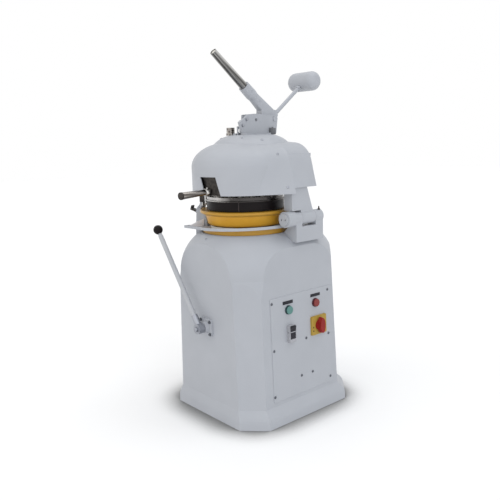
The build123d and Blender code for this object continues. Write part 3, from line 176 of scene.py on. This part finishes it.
# Cast iron: dark with a coarse granular skin
cast_iron = metal("raw_cast_iron", "#4A4A4A", "#5C5B5A", (0.50, 0.65), 3, depth=0.0006)
# Cast aluminium: pale with a softer granular skin
cast_aluminium = metal("raw_cast_aluminium", "#A2A4A6", "#B4B6B8", (0.38, 0.50), 3, depth=0.0005)
# Turned bronze bush: fine rings round its axis
bronze = metal("turned_bronze", "#8A6A3C", "#A17C48", (0.25, 0.35), 2, (10, 10, 1))

# Knife carrier and its lip: a painted reflection, bright at the operator's left and fading dark towards the
# hinge
painted_sheen_steel, tree, skin, place = start_finish("steel_with_painted_sheen", Metallic=1.0)
sheen_fade = add_node(tree, "SeparateXYZ", {"Vector": place})["X"]
patches = add_node(tree, "TexNoise", {"Vector": place, "Scale": 1 / (30 * MM), "Detail": 3.0})[0]
sheen_fade = add_node(tree, "Math", {0: patches, 1: 0.06, 2: sheen_fade}, operation="MULTIPLY_ADD")[0]
sheen_fade = add_node(tree, "MapRange", {"Value": sheen_fade, "From Min": 0.04, "From Max": 0.12})[0]
add_node(tree, "ValToRGB", {"Fac": sheen_fade}, [(0.0, "#B4B2B0"), (1.0, "#4A4746")], skin["Base Color"])
add_node(tree, "ValToRGB", {"Fac": patches}, [(0.36, 0.22), (0.64, 0.36)], skin["Roughness"])

# Collars of the push buttons, painted dark as the shade on the buttons' sides: dark teal round the green
# one, dark red round the red one
shade_dark_collars, tree, skin, place = start_finish("button_collars_painted_shade", IOR=1.49, Roughness=0.4,
                                                 **{"Specular IOR Level": 0.2})
rear = add_node(tree, "SeparateXYZ", {"Vector": place})["Y"]
rear = add_node(tree, "Math", {0: rear, 1: 0.0}, operation="GREATER_THAN")[0]
grain = add_node(tree, "TexNoise", {"Vector": place, "Scale": 1 / (2 * MM), "Detail": 1.0})[0]
add_node(tree, "ValToRGB", {"Fac": rear}, [(0.0, "#33474A"), (1.0, "#583039")], skin["Base Color"])
add_node(tree, "Bump", {"Height": grain, "Strength": 0.1, "Distance": 0.0003}, feeds=skin["Normal"])

worn_by = {
    paint: ["plinth", "cabinet_shell", "flour_pan", "control_panel", "hinge_block", "latch_post",
            "head_casting", "front_cover", "head_crown", "lever_yoke", "rest_leg", "lever_socket",
            "counterweight", "motor_mount", "hinge_pin", "lever_pins", "lever_bracket",
            "counterweight_rod", "ram_shaft"],
    lever_chrome: ["lever_tube"],
    handle_chrome: ["cutting_handle", "oil_filler_cap"],
    painted_sheen_steel: ["chamber_lip", "knife_carrier"],
    rod_lacquer: ["rounding_rod"],
    ground_steel: ["main_bearings", "press_plate", "knife_grid", "main_shaft", "motor_shaft",
                   "idler_crank_left", "idler_crank_right", "rounding_shaft"],
    zinc: ["cover_screws", "rounding_hub"],
    dark_zinc: ["panel_screws"],
    black_steel: ["latch_clip"],
    table_yellow: ["deck_ring", "dough_plate"],
    shade_lifted_yellow: ["table_bowl"],
    switch_yellow: ["switch_escutcheon"],
    ring_black: ["chamber_ring", "rounding_knob"],
    satin_black: ["rocker_switch", "cable_gland"],
    shade_dark_collars: ["button_bezels"],
    dull_grey: ["control_box"],
    pale_moulding: ["rocker_frame"],
    natural_white: ["press_blocks"],
    signal_red: ["main_switch_knob"],
    button_red: ["stop_button"],
    button_green: ["start_button"],
    belt_rubber: ["drive_belt"],
    cast_iron: ["bearing_housing", "driven_pulley", "motor_pulley"],
    cast_aluminium: ["motor_housing", "table_carrier"],
    bronze: ["ram_bush"],
}
for finish, wearers in worn_by.items():
    for wearer in wearers:
        nodes[wearer].data.materials.clear()
        nodes[wearer].data.materials.append(finish)


# Making of pieces, with lengths in mm

def piece(name, bm, body, finish, stands_for=()):
    """Close a mesh, shade it, give it its finish and set it on its body."""
    bmesh.ops.remove_doubles(bm, verts=bm.verts, dist=1e-6)
    bmesh.ops.recalc_face_normals(bm, faces=bm.faces)
    mesh = bpy.data.meshes.new(name)
    bm.to_mesh(mesh)
    bm.free()
    mesh.shade_smooth()
    mesh.set_sharp_from_angle(angle=SHARP_ANGLE)
    mesh.materials.append(finish)
    obj = bpy.data.objects.new(name, mesh)
    scene.collection.objects.link(obj)
    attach(obj, body)
    if stands_for:
        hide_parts(*stands_for)
    return obj


def axes(origin, x, y, z):
    """Place at a point in mm, with its axes along these three ways."""
    return Matrix.Translation(Vector(origin) * MM) @ Matrix((x, y, z)).transposed().to_4x4()


def seat(origin, way, up=UP):
    """Place at a point in mm, with its Z axis along way and its Y axis as near to up as it can be."""
    z = Vector(way).normalized()
    x = Vector(up).cross(z)
    if x.length < 1e-4:
        x = Vector((1, 0, 0)).cross(z) if abs(z.x) < 0.9 else Vector((0, 1, 0)).cross(z)
    x.normalize()
    return axes(origin, x, z.cross(x), z)


def seat_on(carrier, point):
    """Place on the nearest spot of an object's surface to a point in mm, facing out of it."""
    _, spot, way, _ = carrier.closest_point_on_mesh(Vector(point) * MM)
    return seat(spot / MM, way)


def raised(place, height):
    """The same place, that many mm further out."""
    return place @ Matrix.Translation((0, 0, height * MM))


def turned(bm, section, place, steps=28):
    """Spin a half section of (radius, height) points in mm about the place's Z axis."""
    before = set(bm.verts)
    line = [bm.verts.new((r * MM, 0, h * MM)) for r, h in section]
    edges = [bm.edges.new(pair) for pair in zip(line, line[1:])]
    bmesh.ops.spin(bm, geom=line + edges, cent=(0, 0, 0), axis=UP, angle=tau, steps=steps, use_merge=True)
    bmesh.ops.transform(bm, matrix=place, verts=[v for v in bm.verts if v not in before])


def slab(bm, outline, thick, place, round_mm, rounds=2):
    """Raise a flat outline of (x, y) points in mm to a thickness and round all its edges."""
    made = bmesh.new()
    face = made.faces.new([made.verts.new((x * MM, y * MM, 0)) for x, y in outline])
    raised_face = bmesh.ops.extrude_face_region(made, geom=[face])
    top = [v for v in raised_face["geom"] if isinstance(v, bmesh.types.BMVert)]
    bmesh.ops.translate(made, vec=(0, 0, thick * MM), verts=top)
    bmesh.ops.recalc_face_normals(made, faces=made.faces)
    bmesh.ops.bevel(made, geom=made.edges, offset=round_mm * MM, segments=rounds, profile=0.5,
                    affect="EDGES", material=-1)
    bmesh.ops.transform(made, matrix=place, verts=made.verts)
    kept = bpy.data.meshes.new("slab")
    made.to_mesh(kept)
    made.free()
    bm.from_mesh(kept)
    bpy.data.meshes.remove(kept)


def box_outline(width, height):
    """Corners of a rectangle about the origin."""
    x, y = width / 2, height / 2
    return [(-x, -y), (x, -y), (x, y), (-x, y)]


def hexagon(across):
    """Corners of a hexagon of that width across its flats."""
    reach = across / 2 / cos(pi / 6)
    return [(reach * cos(i * pi / 3), reach * sin(i * pi / 3)) for i in range(6)]


def button_screw(bm, place, radius, height):
    """Domed screw head with a socket."""
    turned(bm, [(0, -0.4), (radius, -0.4), (radius, 0.35 * height), (0.86 * radius, 0.78 * height),
                (0.62 * radius, height), (0.48 * radius, height), (0.44 * radius, 0.4 * height),
                (0, 0.4 * height)], place)


def hex_bolt(bm, place, across, height, washer):
    """Hexagon bolt head on a washer of that radius."""
    turned(bm, [(0, -0.3), (washer, -0.3), (washer, 1.0), (washer - 0.5, 1.6), (0, 1.6)], place)
    slab(bm, hexagon(across), height, raised(place, 1.5), 0.6)


# Leaning right face that holds the controls
PANEL_LEAN = atan(0.0341)
PANEL_MID_Z = 318.0
PANEL_MID_X = 270.884
PANEL_THICK = 3


def on_panel(y, z):
    """Place on the control panel, facing out of it."""
    up = (z - PANEL_MID_Z) / cos(PANEL_LEAN)
    way = Vector((cos(PANEL_LEAN), 0, sin(PANEL_LEAN)))
    along = Vector((-sin(PANEL_LEAN), 0, cos(PANEL_LEAN)))
    return seat(Vector((PANEL_MID_X, y, PANEL_MID_Z)) + way * PANEL_THICK + along * up, way)


# Control panel: dark screws, bare plates over the buttons, screws of the switch plate, bar across the rocker
COVER_SCREW = (6.0, 2.6)  # radius and height of a head
LOW_SCREW = (6.0, 2.4)
PANEL_SCREWS = ((-181, 519), (-178, 320), (-183, 123), (156, 521), (155, 323), (160, 122), (13, 333),
                (-23, 175), (46, 174))
bm = bmesh.new()
for y, z in PANEL_SCREWS:
    button_screw(bm, on_panel(y, z), *COVER_SCREW)
piece("panel_screw_heads", bm, "frame", dark_zinc, ["panel_screws"])

bm = bmesh.new()
for y, z, width, height in ((-89.5, 510, 59, 14), (77, 511.5, 60, 13)):
    slab(bm, box_outline(width, height), 1.2, on_panel(y, z), 0.5)
piece("button_plates", bm, "frame", satin_black)

bm = bmesh.new()
for z in (372, 356):
    button_screw(bm, seat_on(nodes["switch_escutcheon"], (300, 53, z)), 3.2, 1.6)
piece("switch_plate_screws", bm, "frame", black_steel)

bm = bmesh.new()
slab(bm, box_outline(30, 3.2), 1.2, seat_on(nodes["rocker_switch"], (310, -82, 383)), 0.4)
piece("rocker_bar", bm, "rocker", pale_moulding)

# Head: fairings that lead the dome smoothly out to the cover's flange on both sides
DOME_FOOT = 957  # heights where the dome starts and where it begins to close
DOME_SPRING = 1070
DOME_R = 228
DOME_FLAT_R = 65
DOME_RISE = 102
FLANGE_FOOT_X = 278
FLANGE_TAPER = 0.265
FLANGE_REACH = 35  # from the table's axis back to the flange's seam
CORNER = Vector((146.2, 1063.8))  # centre of the flange's rounded corner
CORNER_R = 100
FAIRING_LAP = 0.2  # how far its skin stands off the dome
FAIRING_SINK = 2  # how far its back lies under the dome's skin
EDGE_LAP = 0.4  # how far its edge stays inside the flange's


def dome_radius(z):
    """Radius of the dome at a height, about the table's axis."""
    if z < DOME_SPRING:
        return DOME_R
    return DOME_FLAT_R + (DOME_R - DOME_FLAT_R) * sqrt(1 - ((z - DOME_SPRING) / DOME_RISE) ** 2)


def ray(angle, length):
    """Flat vector at an angle."""
    return Vector((cos(angle), sin(angle))) * length


flange_edge = [(FLANGE_FOOT_X - FLANGE_TAPER * (z - DOME_FOOT), z) for z in range(DOME_FOOT, 1090, 12)]
flange_edge += [CORNER + ray(radians(a), CORNER_R) for a in range(20, 79, 4)]
bm = bmesh.new()
for side in (1, -1):
    before = None
    for x, z in flange_edge:
        edge = Vector((x - EDGE_LAP, FLANGE_REACH))
        lean = atan2(edge.y, edge.x)
        skin_r = dome_radius(z) + FAIRING_LAP
        touch = lean - acos(skin_r / edge.length)
        outline = [edge, ray(touch, skin_r)]
        for i in range(7):
            outline.append(ray(touch + (lean - touch) * i / 6, dome_radius(z) - FAIRING_SINK))
        corners = [bm.verts.new((side * p.x * MM, (p.y + TABLE_Y) * MM, z * MM)) for p in outline]
        ring = [bm.edges.new(pair) for pair in zip(corners, corners[1:] + corners[:1])]
        if before:
            bmesh.ops.bridge_loops(bm, edges=before + ring)
        before = ring
bmesh.ops.holes_fill(bm, edges=[e for e in bm.edges if e.is_boundary])
fairing = piece("cover_fairing", bm, "head", paint)

# Head: screws of the cover and the crown
bm = bmesh.new()
for side in (1, -1):
    for x, y, z in ((257.4, -68, 985), (218.5, -84, 1121)):
        button_screw(bm, seat_on(fairing, (side * x, y, z)), *COVER_SCREW)
    for x, y, z in ((71.1, -143.4, 1187.4), (134.9, -92.1, 1177.4)):
        button_screw(bm, seat_on(nodes["head_crown"], (side * x, y, z)), *LOW_SCREW)
piece("cover_screw_heads", bm, "head", zinc, ["cover_screws"])

# Yoke: two bolts at the front of the near plate
SMALL_BOLT = (10.0, 5.0, 7.5)  # width across flats, height, and radius of the washer
NEAR_PLATE_X = 28
bm = bmesh.new()
for y, z in ((-103, 1240), (-80, 1265)):
    hex_bolt(bm, seat((NEAR_PLATE_X, y, z), (1, 0, 0)), *SMALL_BOLT)
piece("yoke_bolts", bm, "head", zinc)

# Limit switch behind the yoke: body, lid with two screws, and a plunger on top
bm = bmesh.new()
body = seat((NEAR_PLATE_X, 62, 1214), (1, 0, 0))
slab(bm, box_outline(28, 28), 15, body, 1.5, 3)
slab(bm, box_outline(23, 23), 2.4, raised(body, 14.6), 0.8)
for across in (-8, 8):
    button_screw(bm, raised(body, 16.8) @ Matrix.Translation((across * MM, -across * MM, 0)), 2.4, 1.4)
plunger = seat((NEAR_PLATE_X + 8, 62, 1227.8), UP)
turned(bm, [(0, 0), (3.5, 0), (3.5, 3), (2.5, 4.5), (0, 5)], plunger, 20)
piece("limit_switch", bm, "head", dull_grey)

# Press lever: clamp screws in the socket, lock nut under the counterweight, end plug
ROD_LIFT = radians(37.7)
lever_way = Vector((0, -cos(LEVER_LIFT), sin(LEVER_LIFT)))
lever_up = Vector((0, sin(LEVER_LIFT), cos(LEVER_LIFT)))
rod_way = Vector((0, cos(ROD_LIFT), sin(ROD_LIFT)))
pivot = Vector((0, 84, 1268))
lever_root = pivot + lever_up * 9.5
bm = bmesh.new()
for reach in (108, 172):
    beside = lever_root + lever_way * reach + Vector((40, 0, 0))
    button_screw(bm, seat_on(nodes["lever_socket"], beside), 4.5, 2.0)
rod_nut = seat(pivot + rod_way * 222, rod_way, (1, 0, 0))
slab(bm, hexagon(25), 9, rod_nut, 1.0)
piece("lever_fasteners", bm, "press_lever", paint)

bm = bmesh.new()
plug = seat(lever_root + lever_way * 404, lever_way)
turned(bm, [(0, -14), (11, -14), (11.5, -12), (11.5, -1), (10, 1.2), (5, 2.4), (0, 2.8)], plug)
piece("tube_end_plug", bm, "press_lever", natural_white)

# Knife handle: clamp collar at the slot, tapered grip, dark end cap, and a dark curved sheet behind the slot
# that paints the shade inside the dome
handle_root = Vector((24, -286, 974))
handle_way = Vector((0, -150, -8.5)).normalized()
handle_length = 150.24
bm = bmesh.new()
turned(bm, [(11, 6), (15, 6), (15.6, 7.5), (15.6, 24), (14.8, 26), (12.6, 26), (12.6, 30), (11, 30),
            (11, 6)], seat(handle_root, handle_way))
button_screw(bm, seat(handle_root + handle_way * 15 + UP * 15.2, UP), 4.5, 3.0)
piece("handle_collar", bm, "knife", collar_chrome)

handle_tip = seat(handle_root + handle_way * handle_length, handle_way)
bm = bmesh.new()
turned(bm, [(11.4, -88), (12.4, -88), (14.6, -12), (14.6, -9), (11.4, -9), (11.4, -88)], handle_tip)
piece("handle_grip", bm, "knife", handle_chrome)
bm = bmesh.new()
turned(bm, [(0, -9.4), (15, -9.4), (15.4, -8), (15.4, -1.5), (14, 1), (8, 1.8), (0, 1.8)], handle_tip)
piece("handle_end_cap", bm, "knife", black_steel)

# Dark sheet inside the dome behind the slot: painted shade, riding with the knife
SHADE_SHEET_R = 216
SHADE_SHEET_START = radians(258)
SHADE_SHEET_SPAN = radians(40)
bm = bmesh.new()
ends = [bm.verts.new((SHADE_SHEET_R * MM, 0, z * MM)) for z in (958, 1044)]
upright = bm.edges.new(ends)
bmesh.ops.rotate(bm, cent=(0, 0, 0), matrix=Matrix.Rotation(SHADE_SHEET_START, 3, "Z"), verts=ends)
bmesh.ops.spin(bm, geom=[*ends, upright], cent=(0, 0, 0), axis=UP, angle=SHADE_SHEET_SPAN, steps=16)
bmesh.ops.recalc_face_normals(bm, faces=bm.faces)
bmesh.ops.solidify(bm, geom=bm.faces[:], thickness=2.5 * MM)
bmesh.ops.translate(bm, vec=(0, TABLE_Y * MM, 0), verts=bm.verts)
piece("slot_shade_sheet", bm, "knife", black_steel)

# Chamber ring: the strap over its joint
bm = bmesh.new()
slab(bm, box_outline(3.2, 36), 0.8, seat((108.5, -206.1, 907), (0.642, -0.767, 0)), 0.3)
piece("ring_joint_strap", bm, "knife", strap_black)

# Head's left rest: dark sleeve on its bar, and a bright strip on the bar's inner side that paints the light
# falling there
REST_TURN = radians(202)
rest_out = Vector((cos(REST_TURN), sin(REST_TURN), 0))
rest_side = Vector((-sin(REST_TURN), cos(REST_TURN), 0))


def on_rest(reach, z):
    """Place on the head's left rest, looking up: its X axis points away from the table."""
    return seat(Vector((0, TABLE_Y, z)) + rest_out * reach, UP, rest_side)


BAR_FOOT_Z = 908.6
BAR_WIDTH = 19.4
BAR_LENGTH = 48
bm = bmesh.new()
slab(bm, box_outline(26, BAR_WIDTH), BAR_LENGTH, on_rest(216, BAR_FOOT_Z), 1.0)
piece("rest_bar_sleeve", bm, "head", black_steel)
bm = bmesh.new()
slab(bm, box_outline(8, BAR_WIDTH), BAR_LENGTH, on_rest(199, BAR_FOOT_Z), 0.8)
piece("rest_bar_strip", bm, "head", ground_steel)

# Rest leg: bright chrome shoe on the inner face of its foot, held by two screws; its brightness lifts the
# shade that face falls in
bm = bmesh.new()
shoe = seat(Vector((0, TABLE_Y, 900)) + rest_out * 209, -rest_out)
slab(bm, box_outline(40, 17), 3.0, shoe, 0.8)
for across in (-12, 12):
    button_screw(bm, raised(shoe, 2.9) @ Matrix.Translation((across * MM, 0, 0)), 3.5, 1.8)
piece("rest_foot_shoe", bm, "head", collar_chrome)

# Rest post: apron that fills the gap between the post and the bowl, just clear of the bowl's orbit
APRON_WIDTH = 45.6
bm = bmesh.new()
apron = axes(Vector((0, TABLE_Y, 0)) + rest_side * APRON_WIDTH / 2, rest_out, UP, -rest_side)
slab(bm, [(185, 803), (218, 803), (218, 864), (194, 864), (185.5, 824)], APRON_WIDTH, apron, 0.8)
piece("rest_post_apron", bm, "frame", paint)

# Hinge: grease nipple on the rear barrel
bm = bmesh.new()
nipple = seat((256, 117, 877.4), UP)
slab(bm, hexagon(10), 5, nipple, 0.5)
turned(bm, [(0, 4.5), (3.8, 4.5), (3.2, 9), (2.2, 11.5), (2.9, 13.2), (2.4, 15), (1.2, 16), (0, 16)],
       nipple, 20)
piece("grease_nipple", bm, "frame", black_steel)

# Flour pan: its floor falls away from the hinge
PAN_FLOOR_Z = 808.0
PAN_FALL = 0.0419
PAN_HIGH = radians(-15)


def pan_floor(x, y):
    """Height in mm of the tilted pan's floor."""
    return PAN_FLOOR_Z + PAN_FALL * (x * cos(PAN_HIGH) + (y - TABLE_Y) * sin(PAN_HIGH))


# Flour seal: soft collar on the pan round its opening, level on top, just under the bowl's foot
SEAL_TOP_Z = 817.0
bm = bmesh.new()
turned(bm, [(150, 0), (155, 0), (155, 1), (150, 1), (150, 0)], seat((0, TABLE_Y, 0), UP), 96)
for v in bm.verts:
    v.co.z = (SEAL_TOP_Z if v.co.z > 0.5 * MM else pan_floor(v.co.x / MM, v.co.y / MM)) * MM
piece("flour_seal", bm, "frame", natural_white)

# Beak of the flour pan: guard sheet along its rear edge, rising from the tip towards the rest post
beak_tip = Vector((-213, -240, 0))
beak_root = Vector((-176, -174, 0))
guard_way = (beak_root - beak_tip).normalized()
guard_length = (beak_root - beak_tip).length
guard = axes(beak_tip + UP * pan_floor(*beak_tip[:2]), guard_way, UP, guard_way.cross(UP))
bm = bmesh.new()
slab(bm, [(0, 0), (guard_length, 0.6), (guard_length, 33), (guard_length - 4, 34), (0, 2.5)], 2.0,
     guard, 0.6)
piece("pan_beak_guard", bm, "frame", shade_lifting_white)

# Cabinet: screw in the front shoulder
bm = bmesh.new()
button_screw(bm, seat_on(nodes["cabinet_shell"], (-2.5, -297, 773.8)), *LOW_SCREW)
piece("shoulder_screw", bm, "frame", zinc)

# Rounding lever: rod with a thinner neck under the knob, bolts of its bracket, nut on its shaft
ROUNDING_LEAN = radians(35.7)
SHAFT_X = 5
SHAFT_Z = 400
rounding_way = Vector((-sin(ROUNDING_LEAN), 0, cos(ROUNDING_LEAN)))
bm = bmesh.new()
turned(bm, [(0, 12), (9.5, 12), (10.5, 24), (10.8, 300), (10.8, 452), (9.0, 462), (7.0, 468), (0, 468)],
       seat((SHAFT_X, -354, SHAFT_Z), rounding_way))
piece("rounding_bar", bm, "rounding_lever", rod_lacquer, ["rounding_rod"])
bm = bmesh.new()
for x in (SHAFT_X - 31, SHAFT_X + 31):
    for z in (SHAFT_Z - 27, SHAFT_Z + 27):
        hex_bolt(bm, seat((x, -324, z), (0, -1, 0)), *SMALL_BOLT)
piece("bracket_bolts", bm, "frame", dark_zinc)
bm = bmesh.new()
hex_bolt(bm, seat((SHAFT_X, -370, SHAFT_Z), (0, -1, 0)), 19.0, 8.0, 14.0)
piece("rounding_nut", bm, "rounding_lever", zinc)


# Camera, light and floor

CAMERA_TURN = radians(49.0316)
CAMERA_PITCH = radians(10.0741)
CAMERA_ROLL = radians(-1.5630)
CAMERA_FAR = 2.7332
AIM = Vector((0, 0, 0.6889))
AIM_LEFT = 0.0429
right = Vector((cos(CAMERA_TURN), sin(CAMERA_TURN), 0))
level = Vector((-sin(CAMERA_TURN), cos(CAMERA_TURN), 0))
ahead = level * cos(CAMERA_PITCH) - UP * sin(CAMERA_PITCH)
above = right.cross(ahead)
camera_x = right * cos(CAMERA_ROLL) + above * sin(CAMERA_ROLL)
camera_y = above * cos(CAMERA_ROLL) - right * sin(CAMERA_ROLL)
camera_data = bpy.data.cameras.new("photo_camera")
camera_data.lens = 43.47
camera_data.sensor_width = 36
camera_data.clip_end = 50
camera = bpy.data.objects.new("photo_camera", camera_data)
camera.matrix_world = axes((AIM - right * AIM_LEFT - ahead * CAMERA_FAR) / MM, camera_x, camera_y, -ahead)
scene.collection.objects.link(camera)
scene.camera = camera

ROOM_GLOW = 0.54
world = bpy.data.worlds.new("soft_room")
world.use_nodes = True
tree = world.node_tree
tree.nodes.clear()
rays = add_node(tree, "LightPath")
seen = add_node(tree, "Math", {0: rays["Is Camera Ray"], 1: rays["Is Glossy Ray"]}, operation="MAXIMUM")[0]
seen = add_node(tree, "Math", {0: seen, 1: rays["Is Transmission Ray"]}, operation="MAXIMUM")[0]
glow = add_node(tree, "Background", {"Color": (1, 1, 1, 1), "Strength": ROOM_GLOW})[0]
backdrop = add_node(tree, "Background", {"Color": (1, 1, 1, 1), "Strength": 1.0})[0]
mixed = add_node(tree, "MixShader", {0: seen, 1: glow, 2: backdrop})[0]
add_node(tree, "OutputWorld", {"Surface": mixed})
scene.world = world

# Soft lights, the same all over the floor: name, way to the lamp, spread in degrees, strength and tint
LAMPS = (
    ("ceiling_light", (-0.06, 0.05, 1.0), 70, 0.95, "#FFFFFF"),
    ("right_light", (0.87, -0.35, 0.35), 70, 0.95, "#F3F8FF"),
    ("left_light", (-0.25, -0.9, 0.35), 70, 0.6, "#FFFCF8"),
    ("rear_light", (0.25, 0.35, 0.9), 25, 0.3, "#F6FAFF"),
)
for name, way, spread, strength, tint in LAMPS:
    lamp_data = bpy.data.lights.new(name, "SUN")
    lamp_data.angle = radians(spread)
    lamp_data.energy = strength
    lamp_data.color = linear(tint)[:3]
    lamp = bpy.data.objects.new(name, lamp_data)
    lamp.rotation_euler = Vector(way).to_track_quat("Z", "Y").to_euler()
    scene.collection.objects.link(lamp)

bm = bmesh.new()
bmesh.ops.create_grid(bm, x_segments=1, y_segments=1, size=20)
floor_mesh = bpy.data.meshes.new("studio_floor")
bm.to_mesh(floor_mesh)
bm.free()
floor = bpy.data.objects.new("studio_floor", floor_mesh)
scene.collection.objects.link(floor)
# Matt white vinyl floor: for the camera its colour darkens with ambient occlusion, a painted contact shadow
# over the last hand's breadth before the plinth
floor_finish, tree, skin, place = start_finish("matt_white_floor", Roughness=0.9, IOR=1.3)
open_sky = add_node(tree, "AmbientOcclusion", {"Distance": 0.15}, samples=16)["AO"]
seen = add_node(tree, "LightPath")["Is Camera Ray"]
unseen = add_node(tree, "Math", {0: 1.0, 1: seen}, operation="SUBTRACT")[0]
open_sky = add_node(tree, "Math", {0: open_sky, 1: unseen}, operation="MAXIMUM")[0]
add_node(tree, "ValToRGB", {"Fac": open_sky},
         [(0.45, "#5C5C5C"), (0.7, "#A8A8A8"), (0.97, "#FAFAFA")], skin["Base Color"])
floor_mesh.materials.append(floor_finish)

scene.view_settings.view_transform = "Standard"
